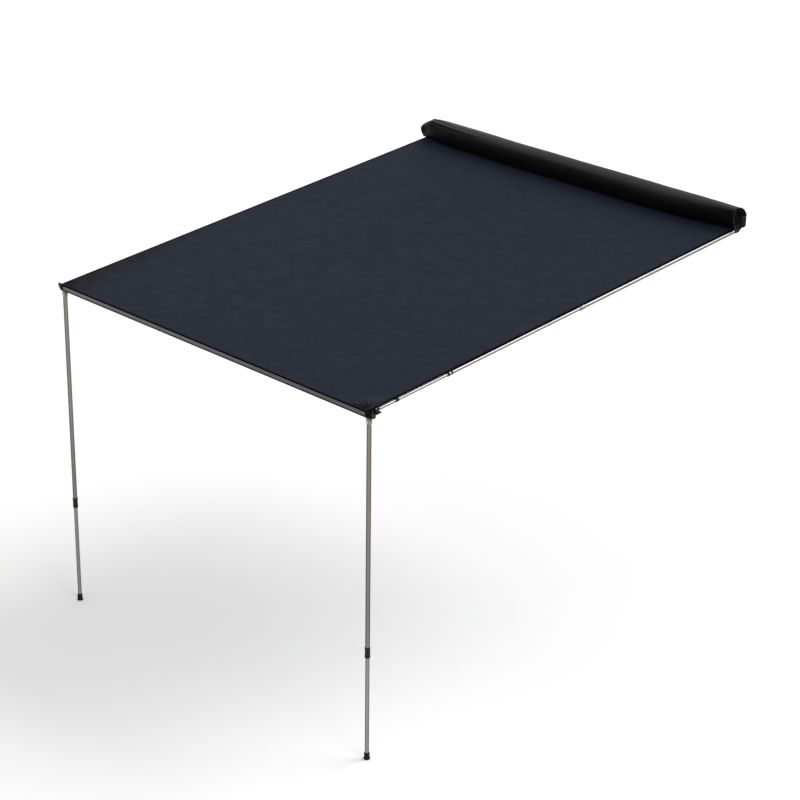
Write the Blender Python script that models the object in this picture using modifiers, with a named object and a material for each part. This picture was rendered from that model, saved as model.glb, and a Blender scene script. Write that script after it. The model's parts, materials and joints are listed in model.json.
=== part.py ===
# Pull-out side awning for a vehicle roof rack, opened out.
# X runs along the vehicle, +Y points to the vehicle, +Z is up, in metres.
# The origin is the middle of the base extrusion's back face.

import bmesh
import bpy
from math import cos, pi, radians, sin, tan
from mathutils import Vector

# Clearances
GAP = 0.0003
HINGE_GAP = 0.0005
PIN_GAP = 0.0004
LATCH_GAP = 0.0008
BOLT_GAP = 0.0004
BOLT_HEAD_GAP = 0.0008
BOLT_HEAD_ROOM = 0.0015
KEDER_GAP = 0.0005
KEDER_MOUTH_GAP = 0.00075
ARM_CANOPY_GAP = 0.00175
CHEEK_ARM_GAP = 0.0005
CHAMFER = 0.001

# Canopy and where it stands
CANOPY_WIDTH = 2.5
CANOPY_LENGTH = 3.0
CANOPY_SLOPE = radians(4.8)
CANOPY_THICKNESS = 0.0015
CANOPY_SAG = 0.014
CANOPY_COLUMNS = 12
CANOPY_ROWS = 12
FRONT_HEIGHT = 2.05
MOUTH_TO_BACK = 0.10

# Keder rods and their grooves
KEDER_RADIUS = 0.003
KEDER_CAVITY = 2 * (KEDER_RADIUS + KEDER_GAP)
KEDER_MOUTH = CANOPY_THICKNESS + 2 * KEDER_MOUTH_GAP

# Bolts and nuts of the mounting brackets
BOLT_RADIUS = 0.0039
BOLT_HEAD_RADIUS = 0.0062
BOLT_HEAD_THICKNESS = 0.0045
BOLT_END = 0.010
NUT_RADIUS = 0.0078
NUT_THICKNESS = 0.0065

# Base extrusion
BASE_BEYOND_CANOPY = 0.0125
BASE_LENGTH = CANOPY_WIDTH + 2 * BASE_BEYOND_CANOPY
BASE_DEPTH = 0.033
BASE_HEIGHT = 0.060
BASE_WALL = 0.0025
BOLT_SLOT_HEIGHT = 0.017
BOLT_SLOT_CAVITY = 2 * (BOLT_HEAD_RADIUS + BOLT_HEAD_GAP)
BOLT_SLOT_DEPTH = BOLT_HEAD_THICKNESS + BOLT_HEAD_ROOM
BOLT_SLOT_MOUTH = 2 * (BOLT_RADIUS + BOLT_GAP)
BAG_GROOVE_FROM_BACK = 0.016
END_CAP_THICKNESS = 0.0035

# Mounting brackets
BRACKET_FROM_END = 0.3125
BRACKET_PLACE = BASE_LENGTH / 2 - BRACKET_FROM_END
BRACKET_WIDTH = 0.050
BRACKET_THICKNESS = 0.005
BRACKET_FOOT = 0.060
BRACKET_SLOT_LENGTH = 0.023
BRACKET_SLOT_WIDTH = 0.009

# Storage bag
BAG_BEYOND_BASE = 0.0045
BAG_LENGTH = BASE_LENGTH + 2 * BAG_BEYOND_BASE
BAG_THICKNESS = 0.0025
BAG_FRONT = 0.1285
BAG_HEIGHT = 0.140
BAG_START_FROM_BACK = 0.012
BAG_LIP_ABOVE_CANOPY = 0.004
BAG_SLACK = 0.010
BAG_SLACK_FORWARD = 0.004
BAG_SAG_OUT = 0.050
BAG_SAG_DROP = 0.031
BAG_STEPS = 30
BAG_STATIONS = 16
ZIP_THICKNESS = 0.0012
ZIP_STEPS = 2
ZIP_START_SHARE = 27 / BAG_STEPS
ZIP_END_SHARE = ZIP_START_SHARE + ZIP_STEPS / BAG_STEPS

# Front bar
BAR_DEPTH = 0.030
BAR_HEIGHT = 0.036
BAR_WALL = 0.002
BAR_STEP = 0.0015
BAR_STEP_HEIGHT = 0.009

# Rafter arms
ARM_PIVOT_BEHIND = 0.020
ARM_TILT = radians(1.0)
ARM_END_FROM_FRONT = 0.063
ARM_OUTER_RADIUS = 0.0110
ARM_WALL = 0.0012
ARM_REAR_COLLAR_AT = 1.35
ARM_FRONT_COLLAR_FROM_FRONT = 0.60
ARM_STOP_RING_FROM_FRONT = 0.21
ARM_COLLAR_LENGTH = 0.036
ARM_COLLAR_WALL = 0.0022
ARM_COLLAR_STEP = 0.018
ARM_STOP_RING_LENGTH = 0.024
ARM_MIDDLE_OVERLAP = 0.20
ARM_INNER_OVERLAP = 0.25
ARM_KNUCKLE_LENGTH = 0.0165
ARM_KNUCKLE_PLUG = 0.035
ARM_END_PLUG = 0.030
ARM_EYE_RADIUS = 0.011
ARM_EYE_SCREW_RADIUS = 0.003

# Hinges of the arms and the legs
KNUCKLE_THICKNESS = 0.013
KNUCKLE_WIDTH = 0.020
KNUCKLE_FLANGE = 0.0025
FORK_CHEEK = 0.004
FORK_REACH = 0.011
FORK_WIDTH = 0.022
FORK_WEB = 0.005
PIN_RADIUS = 0.004
PIN_HEAD_RADIUS = 0.0065
PIN_HEAD_THICKNESS = 0.0025

# Corner brackets on the front bar
CHEEK_THICKNESS = 0.0047
CHEEK_REACH = 0.020
LUG_THICKNESS = 0.005
LUG_OVERHANG = 0.014
LUG_MARGIN = 0.014
PLUG_LENGTH = 0.030
BOSS_DEPTH = 0.0025
EYE_RING_RADIUS = 0.0125
EYE_RING_WIRE = 0.0033
EYE_FROM_FRONT = 0.015

# Legs
LEG_INSIDE_ARM = 0.006
LEG_FROM_FRONT = 0.022
LEG_OUTER_RADIUS = 0.0125
LEG_WALL = 0.0012
LEG_COLLAR_TOP = 0.687
LEG_COLLAR_LENGTH = 0.062
LEG_COLLAR_WALL = 0.0027
LEG_COLLAR_STEP = 0.0372
LEG_OVERLAP = 0.25
LEG_FORK_ABOVE = 0.019
LEG_KNUCKLE_THICKNESS = 0.014
LEG_KNUCKLE_LENGTH = 0.016
LEG_KNUCKLE_PLUG = 0.0265
FOOT_HEIGHT = 0.040
FOOT_RADIUS = 0.018
FOOT_FLANGE = 0.006
FOOT_WALL = 0.004
FOOT_SOLE = 0.008

SIDES = 20
SMALL_SIDES = 14
ROD_SIDES = 8
HEX = 6
HAND = (("left", -1), ("right", 1))

# Places that follow from the sizes above
CANOPY_AT_BASE_Z = -BASE_HEIGHT / 2 + BASE_WALL + KEDER_CAVITY / 2
MOUTH_Z = CANOPY_AT_BASE_Z - (MOUTH_TO_BACK - BASE_DEPTH) * tan(CANOPY_SLOPE)
MOUTH = Vector((0, -MOUTH_TO_BACK, MOUTH_Z))
GROUND_Z = MOUTH_Z - CANOPY_LENGTH * sin(CANOPY_SLOPE) - FRONT_HEIGHT

ARM_PLACE = CANOPY_WIDTH / 2
ARM_MIDDLE_RADIUS = ARM_OUTER_RADIUS - ARM_WALL - GAP
ARM_INNER_RADIUS = ARM_MIDDLE_RADIUS - ARM_WALL - GAP
ARM_COLLAR_RADIUS = ARM_OUTER_RADIUS + GAP + ARM_COLLAR_WALL
ARM_BELOW_CANOPY = ARM_COLLAR_RADIUS + CANOPY_THICKNESS / 2 + ARM_CANOPY_GAP
ARM_TUBE_START = ARM_KNUCKLE_LENGTH + KNUCKLE_FLANGE + GAP
ARM_EYE_AT = CANOPY_LENGTH - ARM_END_FROM_FRONT + ARM_PIVOT_BEHIND
ARM_EYE_BELOW = ARM_COLLAR_RADIUS
ARM_EYE_ABOVE = ARM_INNER_RADIUS

BAR_TOP = -(CANOPY_THICKNESS / 2 + GAP)
BAR_BOTTOM = BAR_TOP - BAR_HEIGHT
CHEEK_OUT = ARM_PLACE - ARM_COLLAR_RADIUS - CHEEK_ARM_GAP
CHEEK_IN = CHEEK_OUT - CHEEK_THICKNESS
BAR_HALF_LENGTH = CHEEK_IN - GAP
LUG_TOP = -(ARM_BELOW_CANOPY + ARM_EYE_BELOW + LATCH_GAP)
LUG_BOTTOM = LUG_TOP - LUG_THICKNESS
LUG_OUT = ARM_PLACE + LUG_OVERHANG
LUG_LENGTH = ARM_END_FROM_FRONT + ARM_EYE_RADIUS + LUG_MARGIN
BOSS_LENGTH = 2 * LEG_FROM_FRONT
BOSS_BOTTOM = min(BAR_BOTTOM, LUG_BOTTOM) - BOSS_DEPTH

LEG_PLACE = ARM_PLACE - LEG_INSIDE_ARM
LEG_INNER_RADIUS = LEG_OUTER_RADIUS - LEG_WALL - GAP
LEG_TUBE_MOUTH = LEG_COLLAR_TOP - LEG_COLLAR_STEP


# Scene and object helpers
def clear_scene():
    for obj in list(bpy.data.objects):
        bpy.data.objects.remove(obj, do_unlink=True)


def make_collection(name):
    collection = bpy.data.collections.new(name)
    bpy.context.scene.collection.children.link(collection)
    return collection


def make_material(name, colour, roughness, metallic=0.0):
    material = bpy.data.materials.new(name)
    material.use_nodes = True
    shader = material.node_tree.nodes["Principled BSDF"]
    shader.inputs["Base Color"].default_value = (*colour, 1)
    shader.inputs["Roughness"].default_value = roughness
    shader.inputs["Metallic"].default_value = metallic
    return material


def place(obj, parent=None, location=(0, 0, 0), rotation=(0, 0, 0)):
    obj.location = location
    obj.rotation_euler = rotation
    obj.parent = parent
    return obj


def make_empty(name, parent=None, location=(0, 0, 0), rotation=(0, 0, 0)):
    empty = bpy.data.objects.new(name, None)
    parts.objects.link(empty)
    empty.empty_display_size = 0.05
    return place(empty, parent, location, rotation)


def add_object(name, data, look, parent=None, location=(0, 0, 0), rotation=(0, 0, 0)):
    obj = bpy.data.objects.new(name, data)
    if look is None:
        cutters.objects.link(obj)
        obj.hide_render = True
        obj.display_type = "WIRE"
    else:
        parts.objects.link(obj)
        data.materials.append(make_material(name, *LOOKS[look]))
    return place(obj, parent, location, rotation)


def boolean(obj, other, operation):
    modifier = obj.modifiers.new(f"{operation.lower()} {other.name}", "BOOLEAN")
    modifier.operation = operation
    modifier.object = other
    modifier.solver = "EXACT"


def box_mesh(name, low, high):
    mesh = bpy.data.meshes.new(name)
    bm = bmesh.new()
    bmesh.ops.create_cube(bm, size=1)
    low, high = Vector(low), Vector(high)
    size = high - low
    bmesh.ops.scale(bm, vec=size, verts=bm.verts)
    bmesh.ops.translate(bm, vec=(low + high) / 2, verts=bm.verts)
    bm.to_mesh(mesh)
    bm.free()
    return mesh


def box(name, low, high, look, parent=None, bevel=0.0, location=(0, 0, 0)):
    obj = add_object(name, box_mesh(name, low, high), look, parent, location)
    if bevel:
        modifier = obj.modifiers.new("edges", "BEVEL")
        modifier.width = bevel
        modifier.segments = 1
    return obj


def turned(name, profile, look, parent=None, location=(0, 0, 0), rotation=(0, 0, 0),
           sides=SIDES):
    """Turn a profile of (radius, height) points about local Z, outer side top to bottom."""
    mesh = bpy.data.meshes.new(name)
    points = [(radius, 0, height) for radius, height in profile]
    edges = [(i, i + 1) for i in range(len(points) - 1)]
    if profile[0][0] > 0:
        edges.append((len(points) - 1, 0))
    mesh.from_pydata(points, edges, [])
    obj = add_object(name, mesh, look, parent, location, rotation)
    screw = obj.modifiers.new("turn", "SCREW")
    screw.steps = sides
    screw.render_steps = sides
    screw.use_merge_vertices = True
    screw.merge_threshold = 0.00001
    screw.use_smooth_shade = True
    return obj


def tube(name, outer, wall, start, end, look, parent=None, location=(0, 0, 0),
         rotation=(0, 0, 0), sides=SIDES):
    inner = outer - wall
    profile = [(outer, end), (outer, start), (inner, start), (inner, end)]
    return turned(name, profile, look, parent, location, rotation, sides)


def outline(name, loops, thickness, look, parent=None, location=(0, 0, 0),
            rotation=(0, 0, 0)):
    """A flat outline in local X and Y, thickened along local Z about the middle."""
    curve = bpy.data.curves.new(name, "CURVE")
    curve.dimensions = "2D"
    curve.fill_mode = "BOTH"
    curve.extrude = thickness / 2
    for loop in loops:
        spline = curve.splines.new("POLY")
        spline.points.add(len(loop) - 1)
        for point, (x, y) in zip(spline.points, loop):
            point.co = (x, y, 0, 1)
        spline.use_cyclic_u = True
    shape = bpy.data.objects.new(name + " outline", curve)
    parts.objects.link(shape)
    mesh = bpy.data.meshes.new_from_object(
        shape.evaluated_get(bpy.context.evaluated_depsgraph_get())
    )
    bpy.data.objects.remove(shape)
    bm = bmesh.new()
    bm.from_mesh(mesh)
    bmesh.ops.remove_doubles(bm, verts=bm.verts, dist=0.00001)
    bmesh.ops.recalc_face_normals(bm, faces=bm.faces)
    bm.to_mesh(mesh)
    bm.free()
    mesh.name = name
    mesh.materials.clear()
    return add_object(name, mesh, look, parent, location, rotation)


# The outlines of bars and brackets are drawn in Y and Z and run along X
ALONG_X = (radians(90), 0, radians(90))
# Turned parts whose axis points out from the vehicle, or along Y
OUTWARD = (radians(90), 0, 0)
INWARD = (radians(-90), 0, 0)
DOWNWARD = (radians(180), 0, 0)


def groove(centre, along, inward, mouth, cavity, lip, depth):
    """The eight points of a groove with lips, cut into an outline's edge."""
    c, t, n = Vector(centre), Vector(along), Vector(inward)
    half_mouth, half_cavity = mouth / 2, cavity / 2
    side = [
        c - t * half_mouth,
        c - t * half_mouth + n * lip,
        c - t * half_cavity + n * lip,
        c - t * half_cavity + n * (lip + depth),
        c + t * half_cavity + n * (lip + depth),
        c + t * half_cavity + n * lip,
        c + t * half_mouth + n * lip,
        c + t * half_mouth,
    ]
    return [tuple(point) for point in side]


def arc(centre, radius, start, end, count):
    step = (end - start) / (count - 1)
    return [
        (centre[0] + radius * cos(start + i * step), centre[1] + radius * sin(start + i * step))
        for i in range(count)
    ]


def from_canopy(out, above):
    """World Y and Z of a point that lies out from the mouth along the canopy and above it."""
    y = MOUTH.y - out * cos(CANOPY_SLOPE) - above * sin(CANOPY_SLOPE)
    z = MOUTH.z - out * sin(CANOPY_SLOPE) + above * cos(CANOPY_SLOPE)
    return y, z


# Base: extrusion, caps, brackets, bolts and arm hinges
def make_base():
    half = BASE_HEIGHT / 2
    section = [(0, -half)]
    for height in (-BOLT_SLOT_HEIGHT, BOLT_SLOT_HEIGHT):
        section += groove((0, height), (0, 1), (-1, 0), BOLT_SLOT_MOUTH,
                          BOLT_SLOT_CAVITY, BASE_WALL, BOLT_SLOT_DEPTH)
    section.append((0, half))
    section += groove((-BAG_GROOVE_FROM_BACK, half), (-1, 0), (0, -1),
                      KEDER_MOUTH, KEDER_CAVITY, BASE_WALL, KEDER_CAVITY)
    section.append((-BASE_DEPTH, half))
    section += groove((-BASE_DEPTH, CANOPY_AT_BASE_Z), (0, -1), (1, 0), KEDER_MOUTH,
                      KEDER_CAVITY, BASE_WALL, KEDER_CAVITY)
    section.append((-BASE_DEPTH, -half))
    back = -(2 * BASE_WALL + BOLT_SLOT_DEPTH)
    front = -BASE_DEPTH + BASE_WALL
    low = CANOPY_AT_BASE_Z + KEDER_CAVITY / 2 + BASE_WALL
    high = half - 2 * BASE_WALL - KEDER_CAVITY
    hollow = [(back, low), (front, low), (front, high), (back, high)]
    outline("base_extrusion", [section, hollow], BASE_LENGTH, "aluminium",
            rotation=ALONG_X)
    for name, side in HAND:
        start = BASE_LENGTH / 2 + GAP
        xs = sorted((side * start, side * (start + END_CAP_THICKNESS)))
        box(f"base_end_cap_{name}", (xs[0], -BASE_DEPTH, -half), (xs[1], 0, half),
            "plastic", bevel=CHAMFER)


def make_mounting_bracket(name, side):
    top = BASE_HEIGHT / 2
    out = GAP + BRACKET_THICKNESS
    section = [
        (GAP, top), (GAP, -top - BRACKET_THICKNESS),
        (BRACKET_FOOT, -top - BRACKET_THICKNESS), (BRACKET_FOOT, -top),
        (out, -top), (out, top),
    ]
    place_x = side * BRACKET_PLACE
    bracket = outline(f"mounting_bracket_{name}", [section], BRACKET_WIDTH, "black_steel",
                      location=(place_x, 0, 0), rotation=ALONG_X)
    for row, height in (("low", -BOLT_SLOT_HEIGHT), ("high", BOLT_SLOT_HEIGHT)):
        at = (place_x, 0, height)
        radius = BOLT_RADIUS + HINGE_GAP
        profile = [(0, BRACKET_FOOT), (radius, BRACKET_FOOT), (radius, -BASE_WALL),
                   (0, -BASE_WALL)]
        hole = turned(f"cutter bolt hole {name} {row}", profile, None, location=at,
                      rotation=INWARD, sides=SMALL_SIDES)
        boolean(bracket, hole, "DIFFERENCE")
        make_bolt(f"{name}_{row}", at)
    foot_middle = (out + BRACKET_FOOT) / 2
    radius = BRACKET_SLOT_WIDTH / 2
    reach = BRACKET_SLOT_LENGTH / 2 - radius
    slot = arc((0, foot_middle + reach), radius, 0, pi, ROD_SIDES)
    slot += arc((0, foot_middle - reach), radius, pi, 2 * pi, ROD_SIDES)
    cutter = outline(f"cutter foot slot {name}", [slot], 4 * BRACKET_THICKNESS, None,
                     location=(place_x, 0, -top - BRACKET_THICKNESS / 2))
    boolean(bracket, cutter, "DIFFERENCE")


def make_bolt(name, at):
    head_face = -BASE_WALL - GAP
    end = GAP + BRACKET_THICKNESS + BOLT_END
    profile = [
        (0, end), (BOLT_RADIUS, end), (BOLT_RADIUS, head_face),
        (BOLT_HEAD_RADIUS, head_face), (BOLT_HEAD_RADIUS, head_face - BOLT_HEAD_THICKNESS),
        (0, head_face - BOLT_HEAD_THICKNESS),
    ]
    turned(f"bracket_bolt_{name}", profile, "steel", location=at, rotation=INWARD,
           sides=SMALL_SIDES)
    low = GAP + BRACKET_THICKNESS + GAP
    bore = (BOLT_RADIUS + GAP) / cos(pi / HEX)
    profile = [(NUT_RADIUS, low + NUT_THICKNESS), (NUT_RADIUS, low),
               (bore, low), (bore, low + NUT_THICKNESS)]
    turned(f"bracket_nut_{name}", profile, "steel", location=at, rotation=INWARD, sides=HEX)


def make_arm_hinge(name, side):
    """A casting under the base's end: a tongue against the base and a fork for the arm."""
    pivot = -ARM_PIVOT_BEHIND
    half_gap = KNUCKLE_THICKNESS / 2 + HINGE_GAP
    middle = -ARM_BELOW_CANOPY
    front = pivot + FORK_REACH
    web = pivot - KNUCKLE_WIDTH / 2 - FORK_CHEEK
    back = web - FORK_WEB
    top = middle + half_gap + FORK_CHEEK
    bottom = middle - half_gap - FORK_CHEEK
    under = -BASE_HEIGHT / 2 - GAP
    section = [
        (-GAP, under), (-BASE_DEPTH, under), from_canopy(back, top), from_canopy(front, top),
        from_canopy(front, middle + half_gap), from_canopy(web, middle + half_gap),
        from_canopy(web, middle - half_gap), from_canopy(front, middle - half_gap),
        from_canopy(front, bottom), from_canopy(back, bottom),
        (-BASE_DEPTH, under - FORK_WEB), (-GAP, under - FORK_WEB),
    ]
    hinge = outline(f"arm_hinge_{name}", [section], FORK_WIDTH, "black_plastic",
                    location=(side * ARM_PLACE, 0, 0), rotation=ALONG_X)
    at = (side * ARM_PLACE, -pivot, middle)
    reach = half_gap + FORK_CHEEK
    drill = make_drill(f"arm hinge {name}", reach, slope, at)
    boolean(hinge, drill, "DIFFERENCE")
    make_pin(f"arm_hinge_pin_{name}", reach, slope, at, (0, -side * ARM_TILT, 0))


def make_pin(name, reach, parent, location, rotation):
    seat = reach + GAP
    profile = [
        (0, seat + PIN_HEAD_THICKNESS), (PIN_HEAD_RADIUS, seat + PIN_HEAD_THICKNESS),
        (PIN_HEAD_RADIUS, seat), (PIN_RADIUS, seat), (PIN_RADIUS, -seat),
        (PIN_HEAD_RADIUS, -seat), (PIN_HEAD_RADIUS, -seat - PIN_HEAD_THICKNESS),
        (0, -seat - PIN_HEAD_THICKNESS),
    ]
    turned(name, profile, "steel", parent, location, rotation, SMALL_SIDES)


# Storage bag: a soft cover hung from the base's top, open underneath and at its ends
BAG_SHAPE = (
    # out, up, and the shares of the sag out and down that the point takes midway
    (0.035, 0.511, 0.0, 0.03), (0.187, 0.725, 0.0, 0.06), (0.436, 0.904, 0.0, 0.13),
    (0.732, 1.0, 0.25, 0.17), (0.926, 0.939, 0.62, 0.51), (1.0, 0.739, 0.87, 0.84),
    (0.984, 0.504, 0.91, 1.0), (0.903, 0.254, 0.88, 0.94), (0.806, 0.054, 0.21, 0.23),
)


def bag_points(along):
    """The bag's section in Y and Z, from the base's top over the crown to the front lip, at
    along from -1 to 1. Midway its front sags outward over the canopy."""
    start = (-BAG_START_FROM_BACK, BASE_HEIGHT / 2 + BAG_THICKNESS / 2 + GAP)
    lip_y, lip_z = -MOUTH_TO_BACK, MOUTH_Z + BAG_LIP_ABOVE_CANOPY
    sag = 1 - along ** 6
    between = [(-BAG_FRONT * out - BAG_SAG_OUT * sag * further,
                lip_z + BAG_HEIGHT * up - BAG_SAG_DROP * sag * lower)
               for out, up, further, lower in BAG_SHAPE]
    return [Vector(point) for point in [start, *between, (lip_y, lip_z)]]


def bag_point(u, along):
    """A point and the outward normal at u, from 0 at the base to 1 at the front lip."""
    known = bag_points(along)
    last = len(known) - 1
    i = min(int(u * last), last - 1)
    t = u * last - i
    a, b, c, d = [known[min(max(k, 0), last)] for k in range(i - 1, i + 3)]
    point = 0.5 * (2 * b + (c - a) * t + (2 * a - 5 * b + 4 * c - d) * t ** 2
                   + (3 * b - a - 3 * c + d) * t ** 3)
    heading = 0.5 * ((c - a) + 2 * (2 * a - 5 * b + 4 * c - d) * t
                     + 3 * (3 * b - a - 3 * c + d) * t ** 2)
    heading.normalize()
    return point, Vector((heading.y, -heading.x))


def bag_sheet(name, u_low, u_high, steps, offset, thickness, look):
    """A sheet along the bag's section, with a sagging front and slumped ends."""
    mesh = bpy.data.meshes.new(name)
    bm = bmesh.new()
    bmesh.ops.create_grid(bm, x_segments=steps, y_segments=BAG_STATIONS, size=0.5)
    for vert in bm.verts:
        u = min(max(u_low + (u_high - u_low) * (vert.co.x + 0.5), 0), 1)
        along = vert.co.y * 2
        point, normal = bag_point(u, along)
        slump = sin(pi * u) * along ** 6
        point = point + normal * offset
        vert.co = (along * BAG_LENGTH / 2, point.x + BAG_SLACK_FORWARD * slump,
                   point.y - BAG_SLACK * slump)
    # the cover and the zip get the same diagonals, so that they stay parallel
    bmesh.ops.triangulate(bm, faces=bm.faces, quad_method="FIXED")
    bmesh.ops.recalc_face_normals(bm, faces=bm.faces)
    bm.to_mesh(mesh)
    bm.free()
    obj = add_object(name, mesh, look)
    solid = obj.modifiers.new("cloth", "SOLIDIFY")
    solid.thickness = thickness
    solid.offset = 0
    return obj


def make_bag():
    bag_sheet("bag_cover", 0, 1, BAG_STEPS, 0, BAG_THICKNESS, "black_fabric")
    outside = (BAG_THICKNESS + ZIP_THICKNESS) / 2 + 1.5 * GAP
    bag_sheet("bag_zip", ZIP_START_SHARE, ZIP_END_SHARE, ZIP_STEPS, outside, ZIP_THICKNESS,
              "black_plastic")


# Canopy and its keder rods
def make_canopy():
    """Rows run from the base's groove to the mouth, over the span, and onto the bar."""
    rear = (MOUTH_TO_BACK - BASE_DEPTH + BASE_WALL - GAP) / cos(CANOPY_SLOPE)
    front = CANOPY_LENGTH - BASE_WALL
    span = CANOPY_LENGTH - BAR_DEPTH - BAR_STEP
    mesh = bpy.data.meshes.new("canopy")
    bm = bmesh.new()
    bmesh.ops.create_grid(bm, x_segments=CANOPY_COLUMNS, y_segments=CANOPY_ROWS + 2, size=0.5)
    for vert in bm.verts:
        row = round((0.5 - vert.co.y) * (CANOPY_ROWS + 2))
        if row == 0:
            out = -rear
        elif row > CANOPY_ROWS + 1:
            out = front
        else:
            out = span * (row - 1) / CANOPY_ROWS
        across = vert.co.x + 0.5
        along = min(max(out, 0), span) / span
        sag = CANOPY_SAG * sin(pi * across) * sin(pi * along)
        vert.co = (vert.co.x * CANOPY_WIDTH, -out, -sag)
    bm.to_mesh(mesh)
    bm.free()
    canopy = add_object("canopy", mesh, "canopy_fabric", slope)
    solid = canopy.modifiers.new("cloth", "SOLIDIFY")
    solid.thickness = CANOPY_THICKNESS
    solid.offset = 0
    keder_depth = BASE_WALL + KEDER_CAVITY / 2
    keder("canopy_keder_rear", CANOPY_WIDTH / 2, None,
          (0, -BASE_DEPTH + keder_depth, CANOPY_AT_BASE_Z))


def keder(name, half, parent, location):
    turned(name, [(0, half), (KEDER_RADIUS, half), (KEDER_RADIUS, -half), (0, -half)],
           "black_plastic", parent, location, (0, radians(90), 0), ROD_SIDES)


# Front bar with its corner brackets, in the canopy's slope
def make_front_bar():
    front = -CANOPY_LENGTH
    back = front + BAR_DEPTH
    groove_at = (front + back) / 2
    step_top = BAR_BOTTOM + BAR_STEP_HEIGHT
    section = [(back, BAR_TOP)]
    section += groove((groove_at, BAR_TOP), (-1, 0), (0, -1), KEDER_MOUTH, KEDER_CAVITY,
                      BAR_WALL, KEDER_CAVITY)
    section += [
        (front, BAR_TOP), (front, step_top), (front + BAR_STEP, step_top),
        (front + BAR_STEP, BAR_BOTTOM), (back, BAR_BOTTOM),
    ]
    low, high = BAR_BOTTOM + BAR_WALL, BAR_TOP - 2 * BAR_WALL - KEDER_CAVITY
    near, far = front + BAR_STEP + BAR_WALL, back - BAR_WALL
    hollow = [(near, high), (near, low), (far, low), (far, high)]
    outline("front_bar", [section, hollow], 2 * BAR_HALF_LENGTH, "aluminium", bar,
            rotation=ALONG_X)
    keder("canopy_keder_front", BAR_HALF_LENGTH, bar,
          (0, groove_at, BAR_TOP - BAR_WALL - KEDER_CAVITY / 2))
    for name, side in HAND:
        make_corner_bracket(name, side, (near + GAP, low + GAP), (far - GAP, high - GAP))


def span_x(side, inner, outer):
    return sorted((side * inner, side * outer))


def make_corner_bracket(name, side, plug_low, plug_high):
    """A cheek with a plug in the bar, a lug under the arm, a boss for the leg and a rope eye."""
    front = -CANOPY_LENGTH
    low_x, high_x = span_x(side, CHEEK_IN, CHEEK_OUT)
    bracket = box(f"corner_bracket_{name}", (low_x, front, min(BAR_BOTTOM, LUG_BOTTOM)),
                  (high_x, front + BAR_DEPTH + CHEEK_REACH, BAR_TOP), "black_plastic", bar)
    middle = (CHEEK_IN + CHEEK_OUT) / 2
    low_x, high_x = span_x(side, BAR_HALF_LENGTH - PLUG_LENGTH, middle)
    plug = box(f"cutter plug {name}", (low_x, *plug_low), (high_x, *plug_high), None, bar)
    boolean(bracket, plug, "UNION")
    section = [
        (front, LUG_TOP), (front, BOSS_BOTTOM),
        (front + BOSS_LENGTH, BOSS_BOTTOM - BOSS_LENGTH * tan(CANOPY_SLOPE)),
        (front + BOSS_LENGTH, LUG_BOTTOM), (front + LUG_LENGTH, LUG_BOTTOM),
        (front + LUG_LENGTH, LUG_TOP),
    ]
    lug = outline(f"cutter lug {name}", [section], LUG_OUT - middle, None, bar,
                  (side * (LUG_OUT + middle) / 2, 0, 0), ALONG_X)
    boolean(bracket, lug, "UNION")
    eye_x = LUG_OUT + EYE_RING_RADIUS + EYE_RING_WIRE + 2 * GAP
    eye_y = front + EYE_FROM_FRONT
    low_x, high_x = span_x(side, LUG_OUT - EYE_RING_WIRE, eye_x + EYE_RING_WIRE)
    tab = box(f"cutter tab {name}", (low_x, eye_y - 2 * EYE_RING_WIRE, LUG_BOTTOM + GAP),
              (high_x, eye_y + 2 * EYE_RING_WIRE, LUG_TOP - GAP), None, bar)
    boolean(bracket, tab, "UNION")
    eye_z = LUG_BOTTOM + EYE_RING_RADIUS + EYE_RING_WIRE + GAP
    ring = torus(f"cutter ring {name}", EYE_RING_RADIUS, EYE_RING_WIRE, bar,
                 (side * eye_x, eye_y, eye_z), OUTWARD)
    boolean(bracket, ring, "UNION")
    radius = ARM_EYE_SCREW_RADIUS + HINGE_GAP
    above, below = LUG_TOP + LUG_THICKNESS, LUG_BOTTOM - LUG_THICKNESS
    hole = turned(f"cutter latch hole {name}",
                  [(0, above), (radius, above), (radius, below), (0, below)], None, bar,
                  (side * ARM_PLACE, ARM_PIVOT_BEHIND - ARM_EYE_AT, 0), sides=SMALL_SIDES)
    boolean(bracket, hole, "DIFFERENCE")


def torus(name, radius, wire, parent, location, rotation):
    mesh = bpy.data.meshes.new(name)
    angles = [pi / 2 - 2 * pi * i / ROD_SIDES for i in range(ROD_SIDES)]
    points = [(radius + wire * cos(angle), 0, wire * sin(angle)) for angle in angles]
    edges = [(i, (i + 1) % ROD_SIDES) for i in range(ROD_SIDES)]
    mesh.from_pydata(points, edges, [])
    obj = add_object(name, mesh, None, parent, location, rotation)
    screw = obj.modifiers.new("turn", "SCREW")
    screw.steps = SIDES
    screw.render_steps = SIDES
    screw.use_merge_vertices = True
    screw.merge_threshold = 0.00001
    return obj


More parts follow.
